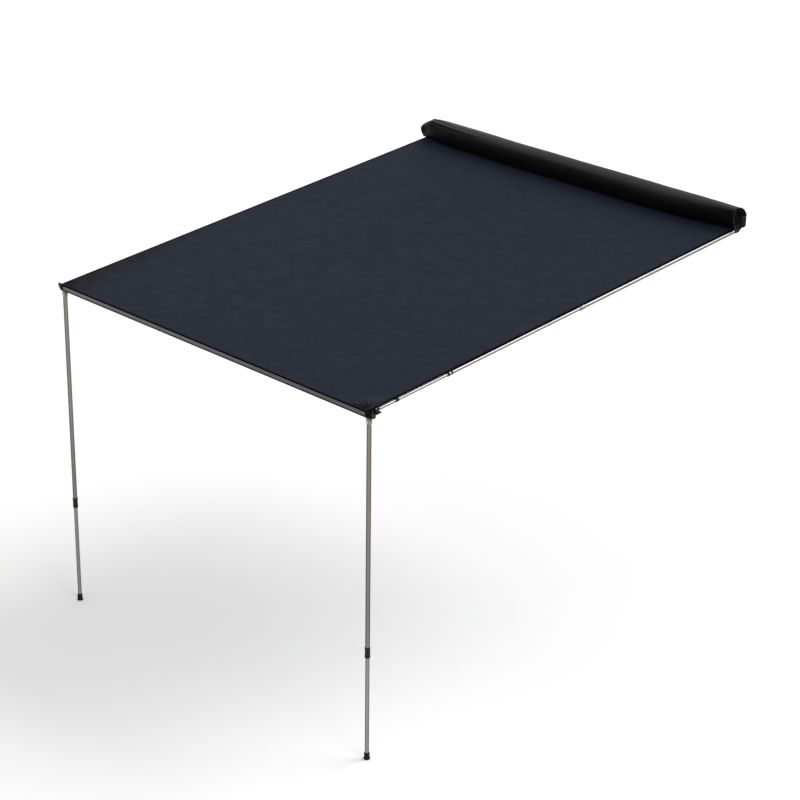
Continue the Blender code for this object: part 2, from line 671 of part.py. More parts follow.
# Legs: fork, pin, knuckle, upper tube, collar, lower tube and foot, upright in the world
def make_leg(name, side):
    boss_z = from_canopy(CANOPY_LENGTH, BOSS_BOTTOM)[1]
    pin_y = from_canopy(CANOPY_LENGTH - LEG_FROM_FRONT, 0)[0]
    pin_z = boss_z - GAP - FORK_CHEEK - LEG_FORK_ABOVE
    at = Vector((side * LEG_PLACE, pin_y, pin_z))
    inner = LEG_KNUCKLE_THICKNESS / 2 + HINGE_GAP
    outer = inner + FORK_CHEEK
    high = LEG_FORK_ABOVE + FORK_CHEEK
    section = [
        (-outer, -FORK_REACH), (-inner, -FORK_REACH), (-inner, LEG_FORK_ABOVE),
        (inner, LEG_FORK_ABOVE), (inner, -FORK_REACH), (outer, -FORK_REACH),
        (outer, high), (-outer, high),
    ]
    fork = outline(f"leg_fork_{name}", [section], FORK_WIDTH, "aluminium",
                   location=at, rotation=ALONG_X)
    drill = make_drill(f"leg {name}", outer, None, at, OUTWARD)
    boolean(fork, drill, "DIFFERENCE")
    make_pin(f"leg_pin_{name}", outer, None, at, OUTWARD)

    pivot = make_empty(f"leg pivot {name}", None, at)
    floor = GROUND_Z - pin_z
    knuckle = make_knuckle(f"leg_knuckle_{name}", LEG_KNUCKLE_THICKNESS, LEG_KNUCKLE_LENGTH,
                           LEG_OUTER_RADIUS, LEG_OUTER_RADIUS - LEG_WALL - GAP,
                           LEG_KNUCKLE_PLUG, pivot, DOWNWARD, (radians(-90), 0, 0),
                           "aluminium")
    boolean(knuckle, drill, "DIFFERENCE")
    top = -(LEG_KNUCKLE_LENGTH + KNUCKLE_FLANGE + GAP)
    tube(f"leg_upper_tube_{name}", LEG_OUTER_RADIUS, LEG_WALL, floor + LEG_TUBE_MOUTH, top,
         "aluminium", pivot)
    make_collar(f"leg_collar_{name}", LEG_OUTER_RADIUS, LEG_INNER_RADIUS, LEG_COLLAR_WALL,
                LEG_COLLAR_LENGTH, LEG_COLLAR_STEP, pivot, (0, 0, floor + LEG_COLLAR_TOP),
                DOWNWARD)
    lower = make_empty(f"leg slide {name}", pivot, (0, 0, floor))
    tube(f"leg_lower_tube_{name}", LEG_INNER_RADIUS, LEG_WALL, FOOT_SOLE + GAP,
         LEG_TUBE_MOUTH + LEG_OVERLAP, "aluminium", lower)
    bore = LEG_INNER_RADIUS + GAP
    neck = bore + FOOT_WALL
    profile = [
        (0, FOOT_SOLE), (bore, FOOT_SOLE), (bore, FOOT_HEIGHT),
        (neck - CHAMFER, FOOT_HEIGHT), (neck, FOOT_HEIGHT - CHAMFER),
        (neck, 2 * FOOT_FLANGE), (FOOT_RADIUS, FOOT_FLANGE), (FOOT_RADIUS, CHAMFER),
        (FOOT_RADIUS - CHAMFER, 0), (0, 0),
    ]
    turned(f"leg_foot_{name}", profile, "rubber", lower)


def make_drill(name, reach, parent, location, rotation=(0, 0, 0)):
    radius = PIN_RADIUS + PIN_GAP
    profile = [(0, 2 * reach), (radius, 2 * reach), (radius, -2 * reach), (0, -2 * reach)]
    return turned(f"cutter pin hole {name}", profile, None, parent, location, rotation,
                  SMALL_SIDES)


def make_knuckle(name, thickness, length, shoulder, plug, plug_length, parent, rotation,
                 tongue_rotation, look):
    """A flat tongue with a round end at the pin, then a flange and a plug along local Z."""
    radius = KNUCKLE_WIDTH / 2
    flange = length + KNUCKLE_FLANGE
    shape = arc((0, 0), radius, pi, 2 * pi, 9)
    shape += [(radius, length + KNUCKLE_FLANGE / 2), (-radius, length + KNUCKLE_FLANGE / 2)]
    end = flange + plug_length
    profile = [
        (0, end), (plug - CHAMFER, end), (plug, end - CHAMFER), (plug, flange),
        (shoulder, flange), (shoulder, length), (0, length),
    ]
    body = turned(name, profile, look, parent, rotation=rotation)
    tongue = outline(f"cutter tongue {name}", [shape], thickness, None, parent,
                     rotation=tongue_rotation)
    boolean(body, tongue, "UNION")
    return body


def make_collar(name, outer_tube, inner_tube, wall, length, step, parent, location,
                rotation):
    """A twist lock with a raised band at each end; the outer tube reaches in up to the step."""
    outer = outer_tube + GAP + wall
    waist = outer - wall / 3
    band = length / 5
    edge = band / 3
    wide, narrow = outer_tube + GAP, inner_tube + GAP
    shelf = step + HINGE_GAP
    profile = [
        (waist, length), (outer, length - edge), (outer, length - band),
        (waist, length - band - edge), (waist, band + edge), (outer, band), (outer, edge),
        (waist, 0), (wide, 0), (wide, shelf), (narrow, shelf), (narrow, length),
    ]
    return turned(name, profile, "black_plastic", parent, location, rotation)


# Rafter arms: knuckle, three tubes, two twist locks, a stop ring and the end eye
def make_arm(name, side):
    at = (side * ARM_PLACE, ARM_PIVOT_BEHIND, -ARM_BELOW_CANOPY)
    pivot = make_empty(f"arm pivot {name}", slope, at)
    knuckle = make_knuckle(f"arm_knuckle_{name}", KNUCKLE_THICKNESS, ARM_KNUCKLE_LENGTH,
                           ARM_OUTER_RADIUS, ARM_OUTER_RADIUS - ARM_WALL - GAP,
                           ARM_KNUCKLE_PLUG, pivot, OUTWARD, (0, 0, radians(180)),
                           "black_plastic")
    drill = make_drill(f"arm knuckle {name}", KNUCKLE_THICKNESS, pivot, (0, 0, 0))
    boolean(knuckle, drill, "DIFFERENCE")

    rear = ARM_REAR_COLLAR_AT + ARM_PIVOT_BEHIND
    front = CANOPY_LENGTH - ARM_FRONT_COLLAR_FROM_FRONT + ARM_PIVOT_BEHIND
    stop = CANOPY_LENGTH - ARM_STOP_RING_FROM_FRONT + ARM_PIVOT_BEHIND
    tube(f"arm_outer_tube_{name}", ARM_OUTER_RADIUS, ARM_WALL, ARM_TUBE_START, rear,
         "aluminium", pivot, rotation=OUTWARD)
    make_collar(f"arm_rear_collar_{name}", ARM_OUTER_RADIUS, ARM_MIDDLE_RADIUS,
                ARM_COLLAR_WALL, ARM_COLLAR_LENGTH, ARM_COLLAR_STEP, pivot,
                (0, -(rear - ARM_COLLAR_STEP), 0), OUTWARD)

    middle = make_empty(f"arm middle slide {name}", pivot, (0, -rear, 0))
    tube(f"arm_middle_tube_{name}", ARM_MIDDLE_RADIUS, ARM_WALL, -ARM_MIDDLE_OVERLAP,
         front - rear, "aluminium", middle, rotation=OUTWARD)
    make_collar(f"arm_front_collar_{name}", ARM_MIDDLE_RADIUS, ARM_INNER_RADIUS,
                ARM_COLLAR_WALL, ARM_COLLAR_LENGTH, ARM_COLLAR_STEP, middle,
                (0, -(front - rear - ARM_COLLAR_STEP), 0), OUTWARD)

    inner = make_empty(f"arm inner slide {name}", middle, (0, -(front - rear), 0))
    eye = ARM_EYE_AT - front
    tube_end = eye - 2 * ARM_EYE_RADIUS
    tube(f"arm_inner_tube_{name}", ARM_INNER_RADIUS, ARM_WALL, -ARM_INNER_OVERLAP,
         tube_end, "aluminium", inner, rotation=OUTWARD)
    make_stop_ring(name, inner, stop - front)
    make_arm_end(name, inner, eye, tube_end)


def make_stop_ring(name, parent, at):
    """A ring with two raised bands, fixed on the inner tube."""
    bore = ARM_INNER_RADIUS + GAP
    outer = bore + ARM_COLLAR_WALL
    waist = outer - ARM_COLLAR_WALL / 3
    half = ARM_STOP_RING_LENGTH / 2
    edge = half / 5
    upper = [(waist, half), (outer, half - edge), (outer, 2 * edge), (waist, edge)]
    lower = [(radius, -height) for radius, height in reversed(upper)]
    turned(f"arm_stop_ring_{name}", [*upper, *lower, (bore, -half), (bore, half)],
           "black_plastic", parent, (0, -at, 0), OUTWARD)


def make_arm_end(name, parent, eye, tube_end):
    """An upright eye that rests over the corner bracket's lug, with its screw."""
    bore = ARM_EYE_SCREW_RADIUS + GAP
    profile = [
        (ARM_EYE_RADIUS - CHAMFER, ARM_EYE_ABOVE), (ARM_EYE_RADIUS, ARM_EYE_ABOVE - CHAMFER),
        (ARM_EYE_RADIUS, -ARM_EYE_BELOW), (bore, -ARM_EYE_BELOW), (bore, ARM_EYE_ABOVE),
    ]
    body = turned(f"arm_end_{name}", profile, "black_plastic", parent, (0, -eye, 0))
    inside = eye - (ARM_EYE_RADIUS + bore) / 2
    shoulder = tube_end + GAP
    plug = ARM_INNER_RADIUS - ARM_WALL - GAP
    neck = eye - ARM_EYE_RADIUS
    profile = [
        (0, inside), (plug, inside), (plug, neck), (ARM_INNER_RADIUS, neck - 2 * CHAMFER),
        (ARM_INNER_RADIUS, shoulder), (plug, shoulder), (plug, tube_end - ARM_END_PLUG),
        (0, tube_end - ARM_END_PLUG),
    ]
    stem = turned(f"cutter stem {name}", profile, None, parent, rotation=OUTWARD)
    boolean(body, stem, "UNION")
    head = 2 * ARM_EYE_SCREW_RADIUS
    seat = ARM_EYE_ABOVE + GAP
    top = seat + ARM_EYE_SCREW_RADIUS
    end = GAP - ARM_EYE_BELOW
    profile = [
        (0, top), (head - CHAMFER, top), (head, top - CHAMFER), (head, seat),
        (ARM_EYE_SCREW_RADIUS, seat), (ARM_EYE_SCREW_RADIUS, end), (0, end),
    ]
    turned(f"arm_end_bolt_{name}", profile, "steel", parent, (0, -eye, 0), sides=SMALL_SIDES)


LOOKS = {
    "canopy_fabric": ((0.026, 0.029, 0.044), 0.85, 0.0),
    "black_fabric": ((0.012, 0.012, 0.014), 0.7, 0.0),
    "aluminium": ((0.55, 0.54, 0.52), 0.35, 1.0),
    "black_steel": ((0.02, 0.02, 0.02), 0.5, 0.0),
    "black_plastic": ((0.015, 0.015, 0.016), 0.55, 0.0),
    "plastic": ((0.02, 0.02, 0.022), 0.5, 0.0),
    "rubber": ((0.02, 0.02, 0.02), 0.8, 0.0),
    "steel": ((0.6, 0.6, 0.6), 0.3, 1.0),
}

clear_scene()
parts = make_collection("side awning")
cutters = make_collection("cutters")
slope = make_empty("canopy slope", None, MOUTH, (CANOPY_SLOPE, 0, 0))
bar = make_empty("bar slide", slope)
make_base()
make_bag()
make_canopy()
make_front_bar()
for hand, sign in HAND:
    make_mounting_bracket(hand, sign)
    make_arm_hinge(hand, sign)
    make_arm(hand, sign)
    make_leg(hand, sign)
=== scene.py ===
import json
from math import atan2, cos, exp, hypot, pi, radians, sin

import bmesh
import bpy
from mathutils import Matrix, Vector, noise

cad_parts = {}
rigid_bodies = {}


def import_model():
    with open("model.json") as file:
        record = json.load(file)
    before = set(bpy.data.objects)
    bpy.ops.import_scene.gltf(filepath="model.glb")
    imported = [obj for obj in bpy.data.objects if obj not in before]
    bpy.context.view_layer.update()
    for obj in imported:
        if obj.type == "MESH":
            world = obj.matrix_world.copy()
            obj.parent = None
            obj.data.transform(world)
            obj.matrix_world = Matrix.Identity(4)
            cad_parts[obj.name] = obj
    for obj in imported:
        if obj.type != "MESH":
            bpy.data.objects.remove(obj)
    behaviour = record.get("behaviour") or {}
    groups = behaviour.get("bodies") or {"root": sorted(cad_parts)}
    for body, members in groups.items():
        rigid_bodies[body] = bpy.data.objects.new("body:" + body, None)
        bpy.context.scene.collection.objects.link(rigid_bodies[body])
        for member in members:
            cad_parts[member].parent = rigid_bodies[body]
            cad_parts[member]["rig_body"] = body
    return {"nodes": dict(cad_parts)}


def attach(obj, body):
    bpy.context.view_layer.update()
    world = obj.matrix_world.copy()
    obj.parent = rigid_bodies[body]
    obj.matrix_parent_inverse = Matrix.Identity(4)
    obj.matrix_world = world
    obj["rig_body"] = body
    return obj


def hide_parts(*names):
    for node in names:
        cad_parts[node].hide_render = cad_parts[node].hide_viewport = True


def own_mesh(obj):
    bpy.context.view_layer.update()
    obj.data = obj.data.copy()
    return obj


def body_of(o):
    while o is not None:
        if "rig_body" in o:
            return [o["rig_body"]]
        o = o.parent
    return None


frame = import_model()
for spare in ("Cube", "Light", "Camera"):
    if spare in bpy.data.objects:
        bpy.data.objects.remove(bpy.data.objects[spare], do_unlink=True)
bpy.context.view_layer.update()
scene = bpy.context.scene
nodes = frame["nodes"]

# The canopy's plane: out from the base's side along the slope, and up off the fabric
SLOPE = radians(4.8)
MOUTH = Vector((0, -0.10, -0.029626))
OUT = Vector((0, -cos(SLOPE), -sin(SLOPE)))
UP = Vector((0, -sin(SLOPE), cos(SLOPE)))
DOWN = Vector((0, 0, -1))
ALONG = Vector((1, 0, 0))
GROUND_Z = -2.3306597
HAND = (("left", -1), ("right", 1))

# Canopy
HALF_WIDTH = 1.25
LENGTH = 3.0
REAR = -0.0695  # where the fabric starts, in the base's groove
FRONT = 2.9985  # where it rolls down over the bar
SAG = 0.014
FLAT_FROM = 2.66  # without sag from here on, so that it clears the bar when it is gathered
CLOTH = 0.0008
TAPE = 0.0007

# Arms, in distances out from their pivots, and legs, in heights over the ground
ARM_X = 1.25
ARM_BELOW = 0.016
ARM_PIVOT = -0.020
ARM_RADII = (0.0110, 0.0095, 0.0080)
TUBE_WALL = 0.0012
LEG_X = 1.244
LEG_Y = -3.0675557
LEG_RADII = (0.0125, 0.0110)
LEG_PIN = -0.343371 - GROUND_Z
GAP = 0.0003


def smooth(low, high, value):
    share = min(max((value - low) / (high - low), 0.0), 1.0)
    return share * share * (3 - 2 * share)


def on_canopy(x, out, above=0.0):
    return MOUTH + OUT * out + UP * above + Vector((x, 0, 0))


# Materials
def add_node(tree, kind, inputs, output=0, **settings):
    """Add a node, whose inputs are values or other nodes' outputs, and give its output."""
    made = tree.nodes.new(kind)
    for key, value in settings.items():
        setattr(made, key, value)
    for key, value in inputs.items():
        if isinstance(value, bpy.types.NodeSocket):
            tree.links.new(value, made.inputs[key])
        else:
            made.inputs[key].default_value = value
    return made.outputs[output]


class Look:
    """A node material with a shader, object coordinates and short calls for its nodes."""

    def __init__(self, name, colour, roughness, metallic=0.0, specular=0.5, sheen=0.0):
        self.material = bpy.data.materials.new(name)
        self.material.use_nodes = True
        self.tree = self.material.node_tree
        self.shader = self.tree.nodes["Principled BSDF"]
        self.place = self.tree.nodes.new("ShaderNodeTexCoord").outputs["Object"]
        self.set("Base Color", (*colour, 1))
        self.set("Roughness", roughness)
        self.set("Metallic", metallic)
        self.set("Specular IOR Level", specular)
        self.set("Sheen Weight", sheen)

    def set(self, socket, value):
        self.shader.inputs[socket].default_value = value

    def link(self, value, socket):
        self.tree.links.new(value, self.shader.inputs[socket])

    def node(self, kind, inputs, output=0, **settings):
        return add_node(self.tree, kind, inputs, output, **settings)

    def axis(self, vector, name):
        return self.node("ShaderNodeSeparateXYZ", {0: vector}, name)

    def pointiness(self):
        """Below 0.5 in a hollow and above it on an edge."""
        return self.node("ShaderNodeNewGeometry", {}, "Pointiness")

    def stretched(self, scale):
        return self.node("ShaderNodeMapping", {"Vector": self.place, "Scale": scale})

    def noise(self, scale, detail=2.0, vector=None, rough=0.5, distortion=0.0):
        return self.node("ShaderNodeTexNoise", {
            "Vector": vector or self.place, "Scale": scale, "Detail": detail,
            "Roughness": rough, "Distortion": distortion,
        })

    def bands(self, direction, scale, distortion=0.0):
        return self.node("ShaderNodeTexWave", {
            "Vector": self.place, "Scale": scale, "Distortion": distortion,
            "Detail": 1.0, "Detail Scale": 3.0,
        }, bands_direction=direction)

    def math(self, operation, a, b=0.5):
        return self.node("ShaderNodeMath", {0: a, 1: b}, operation=operation)

    def mix(self, factor, a, b):
        """Colours a and b, which are three numbers or an output each."""
        a, b = [v if isinstance(v, bpy.types.NodeSocket) else (*v, 1) for v in (a, b)]
        return self.node("ShaderNodeMix", {0: factor, 6: a, 7: b}, 2, data_type="RGBA")

    def span(self, value, low, high, from_low=0.3, from_high=0.7):
        """Low to high, where the value goes from from_low to from_high."""
        return self.node("ShaderNodeMapRange", {
            "Value": value, "From Min": from_low, "From Max": from_high,
            "To Min": low, "To Max": high,
        })

    def bump(self, height, distance, strength=1.0, under=None):
        inputs = {"Height": height, "Distance": distance, "Strength": strength}
        if under:
            inputs["Normal"] = under
        return self.node("ShaderNodeBump", inputs)


def paint_edge_and_fold_light(look, colour, wear_and_shade_colour):
    """Painted shade on the canopy's left edge, in a strip that is widest at the front corner,
    and painted shade in the hollows and painted highlights on the ridges of folds all over it."""
    x, y = [look.axis(look.place, name) for name in "XY"]
    reach = look.span(y, 0.23, 0.035, -3.09, -1.9)
    inward = look.math("ADD", x, HALF_WIDTH)
    side = look.span(look.math("DIVIDE", inward, reach), 0.9, 0.0, 0.25, 1.0)
    front = look.span(y, 1.0, 0.15, -3.0, -1.2)
    # painted shade: the left edge is darkened in a strip, widest at the front corner
    colour = look.mix(look.math("MULTIPLY", side, front), colour, wear_and_shade_colour)
    folds = look.pointiness()
    # painted shade: the cloth is darkened in the hollows of folds, all over the canopy
    colour = look.mix(look.span(folds, 0.75, 0.0, 0.470, 0.498), colour, (0.002, 0.002, 0.004))
    # painted highlight: the cloth is paler on the ridges of folds
    return look.mix(look.span(folds, 0.0, 0.5, 0.503, 0.530), colour, (0.045, 0.047, 0.060))


def woven(name, dark, light, thread, roughness, specular, sheen=0.0, patch=1.4,
          coarse=0.0004, crumple=0.0, painted_edge_shade=None, painted_top_light=None):
    """Coated cloth: a plain weave, uneven dye in soft patches, and a slightly uneven coat.
    thread and patch are scales of the pattern, coarse and crumple are depths of the relief.
    The last two colours are painted light: painted shade along the canopy's left edge, and a
    paler colour painted where the cloth faces the sky, a painted highlight on its top."""
    look = Look(name, dark, roughness, specular=specular, sheen=sheen)
    look.set("Sheen Roughness", 0.5)
    patches = look.noise(patch, 3.0, rough=0.55)
    warp = look.bands("X", thread, 0.4)
    weft = look.bands("Y", thread, 0.4)
    weave = look.math("MULTIPLY", warp, weft)
    colour = look.mix(look.span(patches, 0.0, 1.0), dark, light)
    if painted_top_light:
        # painted highlight: the cloth is painted paler where it faces the sky, for the light
        # on its top
        facing = look.axis(look.node("ShaderNodeTexCoord", {}, "Normal"), "Z")
        skyward = look.math("POWER", look.span(facing, 0.0, 1.0, 0.28, 1.0), 1.5)
        colour = look.mix(skyward, colour, painted_top_light)
    # painted shade along the left edge and in fold hollows, painted highlights on fold ridges
    if painted_edge_shade:
        colour = paint_edge_and_fold_light(look, colour, painted_edge_shade)
    shaded = look.mix(look.span(weave, 0.10, 0.0, 0.0, 0.6), colour, (0.0, 0.0, 0.0))
    look.link(shaded, "Base Color")
    slub = look.noise(900.0, 2.0, look.stretched((1.0, 0.08, 1.0)))
    uneven = look.noise(14.0, 4.0)
    look.link(look.span(uneven, roughness - 0.07, roughness + 0.07), "Roughness")
    fine = look.bump(look.math("ADD", weave, slub), 0.0002, 0.5)
    broad = look.bump(look.noise(38.0, 4.0), coarse, 1.0, fine)
    if crumple:
        creased = look.noise(9.0, 3.0, look.stretched((0.35, 1.0, 1.0)), 0.5, 0.6)
        broad = look.bump(creased, crumple, 1.0, broad)
    look.link(broad, "Normal")
    return look.material


def drawn_metal(name, colour, wear_and_shade_colour, roughness, along, metallic=1.0, film=None):
    """Anodised tube or profile: fine lines along its length, handling marks and dull spots.
    film is the tint of a clear layer over it, which darkens the metal seen at a slant."""
    look = Look(name, colour, roughness, metallic=metallic)
    if film:
        look.set("Coat Weight", 1.0)
        look.set("Coat IOR", 1.02)
        look.set("Coat Tint", (*film, 1))
        look.set("Specular Tint", (0.30, 0.29, 0.27, 1))
    scale = [260.0, 260.0, 260.0]
    scale["XYZ".index(along)] = 1.5
    lines = look.noise(1.0, 3.0, look.stretched(scale))
    marks = look.noise(9.0, 5.0, rough=0.7)
    look.link(look.mix(look.span(marks, 0.0, 1.0, 0.35, 0.75), colour, wear_and_shade_colour), "Base Color")
    both = look.math("ADD", *[look.math("MULTIPLY", part, 0.5) for part in (lines, marks)])
    look.link(look.span(both, roughness - 0.06, roughness + 0.10), "Roughness")
    look.link(look.bump(lines, 0.00006, 0.7), "Normal")
    return look.material


def moulded(name, colour, roughness, grain=700.0, depth=0.00008, wear_and_shade_colour=(0.05, 0.05, 0.052),
            specular=0.45):
    """Moulded plastic, rubber or powder coat: fine grain, uneven gloss, paler worn edges."""
    look = Look(name, colour, roughness, specular=specular)
    uneven = look.noise(45.0, 3.0)
    edges = look.span(look.pointiness(), 0.0, 1.0, 0.52, 0.60)
    wear = look.math("MULTIPLY", edges, uneven)
    lighter = tuple(channel * 1.8 + 0.002 for channel in colour)
    body = look.mix(look.span(uneven, 0.0, 0.6), colour, lighter)
    look.link(look.mix(wear, body, wear_and_shade_colour), "Base Color")
    look.link(look.span(uneven, roughness - 0.08, roughness + 0.10), "Roughness")
    look.link(look.bump(look.noise(grain, 2.0), depth, 0.8), "Normal")
    return look.material


def plated(name, colour, roughness):
    """Zinc-plated steel: a cloudy plating with small dull spots."""
    look = Look(name, colour, roughness, metallic=1.0)
    cloud = look.noise(160.0, 4.0, rough=0.65)
    darker = tuple(channel * 0.7 for channel in colour)
    look.link(look.mix(look.span(cloud, 0.0, 1.0), colour, darker), "Base Color")
    look.link(look.span(cloud, roughness - 0.08, roughness + 0.15), "Roughness")
    look.link(look.bump(cloud, 0.00005, 0.5), "Normal")
    return look.material


# the canopy's last colour is painted shade along its left edge
CANOPY = woven("canopy_cloth", (0.0100, 0.0150, 0.0275), (0.0116, 0.0158, 0.0290),
               thread=240.0, roughness=0.80, specular=0.12, coarse=0.0002,
               painted_edge_shade=(0.00642, 0.00522, 0.00642))
LINING = woven("canopy_tape", (0.0014, 0.0014, 0.0020), (0.0026, 0.0026, 0.0036),
               thread=330.0, roughness=0.80, specular=0.02, patch=9.0)
# the bag's last colour is a painted highlight on its top, where it faces the sky
BAG = woven("bag_cloth", (0.0016, 0.0016, 0.0020), (0.0028, 0.0027, 0.0034), thread=200.0,
            roughness=0.60, specular=0.06, patch=2.2, coarse=0.0006, crumple=0.003,
            painted_top_light=(0.056, 0.056, 0.059))
BINDING = woven("bag_binding", (0.0080, 0.0078, 0.0085), (0.0120, 0.0115, 0.0125),
                thread=330.0, roughness=0.6, specular=0.3, patch=9.0)
BAG_INSIDE = woven("bag_lining", (0.0018, 0.0018, 0.0016), (0.0045, 0.0043, 0.0038),
                   thread=200.0, roughness=0.7, specular=0.12, patch=30.0, coarse=0.001,
                   crumple=0.003)
WEBBING = woven("webbing", (0.10, 0.10, 0.105), (0.14, 0.14, 0.145), thread=330.0,
                roughness=0.7, specular=0.15, patch=9.0)
THREAD = woven("thread", (0.012, 0.013, 0.018), (0.020, 0.021, 0.028), thread=900.0,
               roughness=0.7, specular=0.3, sheen=0.05)
TUBE_OUT = drawn_metal("tube_out", (0.93, 0.92, 0.88), (0.84, 0.83, 0.80), 0.30, "Y",
                       film=(0.44, 0.44, 0.43))
TUBE_UP = drawn_metal("tube_up", (0.96, 0.905, 0.815), (0.84, 0.79, 0.715), 0.30, "Z",
                      film=(0.29, 0.284, 0.272))
TUBE_LOW = drawn_metal("tube_low", (0.98, 0.945, 0.885), (0.86, 0.825, 0.77), 0.30, "Z",
                       film=(0.37, 0.365, 0.355))
CAST = drawn_metal("cast_aluminium", (0.30, 0.275, 0.235), (0.24, 0.22, 0.19), 0.40, "Z",
                   metallic=0.4)
PROFILE = drawn_metal("profile", (0.122, 0.122, 0.134), (0.100, 0.100, 0.112), 0.42, "X")
BLACK = moulded("black_plastic", (0.0040, 0.0040, 0.0046), 0.45, wear_and_shade_colour=(0.018, 0.018, 0.019),
                specular=0.22)
CAP = moulded("cap_plastic", (0.0016, 0.0016, 0.0020), 0.60, grain=500.0,
              wear_and_shade_colour=(0.007, 0.007, 0.0075), specular=0.08)
RUBBER = moulded("rubber", (0.006, 0.006, 0.006), 0.78, grain=350.0, depth=0.0001,
                 wear_and_shade_colour=(0.03, 0.03, 0.028), specular=0.2)
POWDER = moulded("powder_coat", (0.005, 0.005, 0.005), 0.48, grain=1200.0, depth=0.0001,
                 specular=0.3)
ZINC = plated("plated_steel", (0.62, 0.62, 0.61), 0.30)
DARK_STEEL = plated("dark_steel", (0.075, 0.075, 0.078), 0.34)


# Pieces
def add_piece(name, shape, look, body, replaced=(), sharp=40.0):
    """A piece of a shape's points and faces, with creases where it turns more than sharp."""
    verts, faces = shape
    mesh = bpy.data.meshes.new(name)
    mesh.from_pydata([tuple(v) for v in verts], [], faces)
    return finish_piece(name, mesh, look, body, replaced, sharp)


def finish_piece(name, mesh, look, body, replaced, sharp):
    mesh.polygons.foreach_set("use_smooth", [True] * len(mesh.polygons))
    mesh.set_sharp_from_angle(angle=radians(sharp))
    mesh.materials.clear()
    mesh.materials.append(look)
    obj = bpy.data.objects.new(name, mesh)
    scene.collection.objects.link(obj)
    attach(obj, body)
    if replaced:
        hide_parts(*replaced)
    return obj


SQUARE = ((-1, -1), (1, -1), (1, 1), (-1, 1))


def quads(rows, columns, offset=0, flip=False, closed=False):
    """Faces of a grid of points, row by row; closed joins the last column to the first."""
    faces = []
    for r in range(rows - 1):
        for c in range(columns if closed else columns - 1):
            a, b = r * columns + c, r * columns + (c + 1) % columns
            face = [offset + i for i in (a, b, b + columns, a + columns)]
            faces.append(face[::-1] if flip else face)
    return faces


def thick_grid(grid, thickness):
    """A closed sheet of that thickness about a grid of points, rows by columns."""
    rows, columns = len(grid), len(grid[0])
    above, below = [], []
    for r in range(rows):
        for c in range(columns):
            u = grid[min(r + 1, rows - 1)][c] - grid[max(r - 1, 0)][c]
            v = grid[r][min(c + 1, columns - 1)] - grid[r][max(c - 1, 0)]
            normal = u.cross(v)
            normal.normalize()
            above.append(grid[r][c] + normal * thickness / 2)
            below.append(grid[r][c] - normal * thickness / 2)
    count = rows * columns
    faces = quads(rows, columns) + quads(rows, columns, count, True)
    border = list(range(columns))
    border += [r * columns + columns - 1 for r in range(1, rows)]
    border += [(rows - 1) * columns + c for c in range(columns - 2, -1, -1)]
    border += [r * columns for r in range(rows - 2, 0, -1)]
    for i, a in enumerate(border):
        b = border[(i + 1) % len(border)]
        faces.append([a, count + a, count + b, b][::-1])
    return above + below, faces


def swept(loops):
    """A closed solid through loops of points, capped at both ends."""
    count = len(loops[0])
    verts = [point for loop in loops for point in loop]
    faces = quads(len(loops), count, closed=True)
    faces.append(list(range(count))[::-1])
    faces.append([(len(loops) - 1) * count + i for i in range(count)])
    return verts, faces


def across(axis):
    """Two directions at right angles to an axis that is across X, and to each other."""
    second = axis.cross(ALONG)
    second.normalize()
    return ALONG, second


def lathe(profile, origin, axis, sides=48, ribs=None):
    """Turn a profile of (radius, distance along axis). A profile that starts at radius 0 has
    poles at both ends, and any other one is a closed ring. ribs gives (row, depth, count)."""
    first, second = across(axis)
    ribs = {row: (depth, count) for row, depth, count in ribs or ()}
    poles = profile[0][0] == 0
    middle = profile[1:-1] if poles else profile
    verts = []
    for row, (radius, distance) in enumerate(middle):
        depth, count = ribs.get(row, (0.0, 1))
        for i in range(sides):
            angle = 2 * pi * i / sides
            r = radius - depth * (0.5 - 0.5 * cos(count * angle)) ** 2
            verts.append(origin + axis * distance
                         + (first * cos(angle) + second * sin(angle)) * r)
    faces = quads(len(middle), sides, closed=True, flip=True)
    last = (len(middle) - 1) * sides
    if poles:
        start, end = len(verts), len(verts) + 1
        verts += [origin + axis * profile[0][1], origin + axis * profile[-1][1]]
        for i in range(sides):
            j = (i + 1) % sides
            faces.append([start, i, j])
            faces.append([end, last + j, last + i])
    else:
        for i in range(sides):
            j = (i + 1) % sides
            faces.append([last + j, last + i, i, j])
    return verts, faces


def turned(name, profile, origin, axis, look, body, sides=48, ribs=None, sharp=32.0,
           extra=False):
    """A turned piece, which stands in for the CAD node of that name unless it is extra."""
    shape = lathe(profile, origin, axis, sides, ribs)
    if extra:
        return add_piece(name, shape, look, body, sharp=sharp)
    return add_piece(name + "_part", shape, look, body, (name,), sharp)


def refined(node, look, bevel, steps=2):
    """A copy of a hard CAD node with its faces joined and its sharp edges rounded."""
    bm = bmesh.new()
    bm.from_mesh(nodes[node].data)
    bmesh.ops.remove_doubles(bm, verts=bm.verts, dist=0.000004)
    bmesh.ops.dissolve_limit(bm, angle_limit=radians(1.0), verts=bm.verts, edges=bm.edges)
    bm.normal_update()
    sharp = [e for e in bm.edges if len(e.link_faces) == 2
             and e.calc_face_angle(0) > radians(32)]
    bmesh.ops.bevel(bm, geom=sharp, offset=bevel, segments=steps, profile=0.6,
                    affect="EDGES", clamp_overlap=True)
    mesh = bpy.data.meshes.new(node + "_part")
    bm.to_mesh(mesh)
    bm.free()
    for name in ("custom_normal", "sharp_face", "sharp_edge"):
        if name in mesh.attributes:
            mesh.attributes.remove(mesh.attributes[name])
    body = body_of(nodes[node])[0]
    return finish_piece(node + "_part", mesh, look, body, (node,), 38)


def graded(*spans):
    """Places from the first span's start to the last one's end, each (start, end, step)."""
    places = []
    for start, end, step in spans:
        count = max(1, round((end - start) / step))
        places += [start + (end - start) * i / count for i in range(count)]
    return places + [spans[-1][1]]


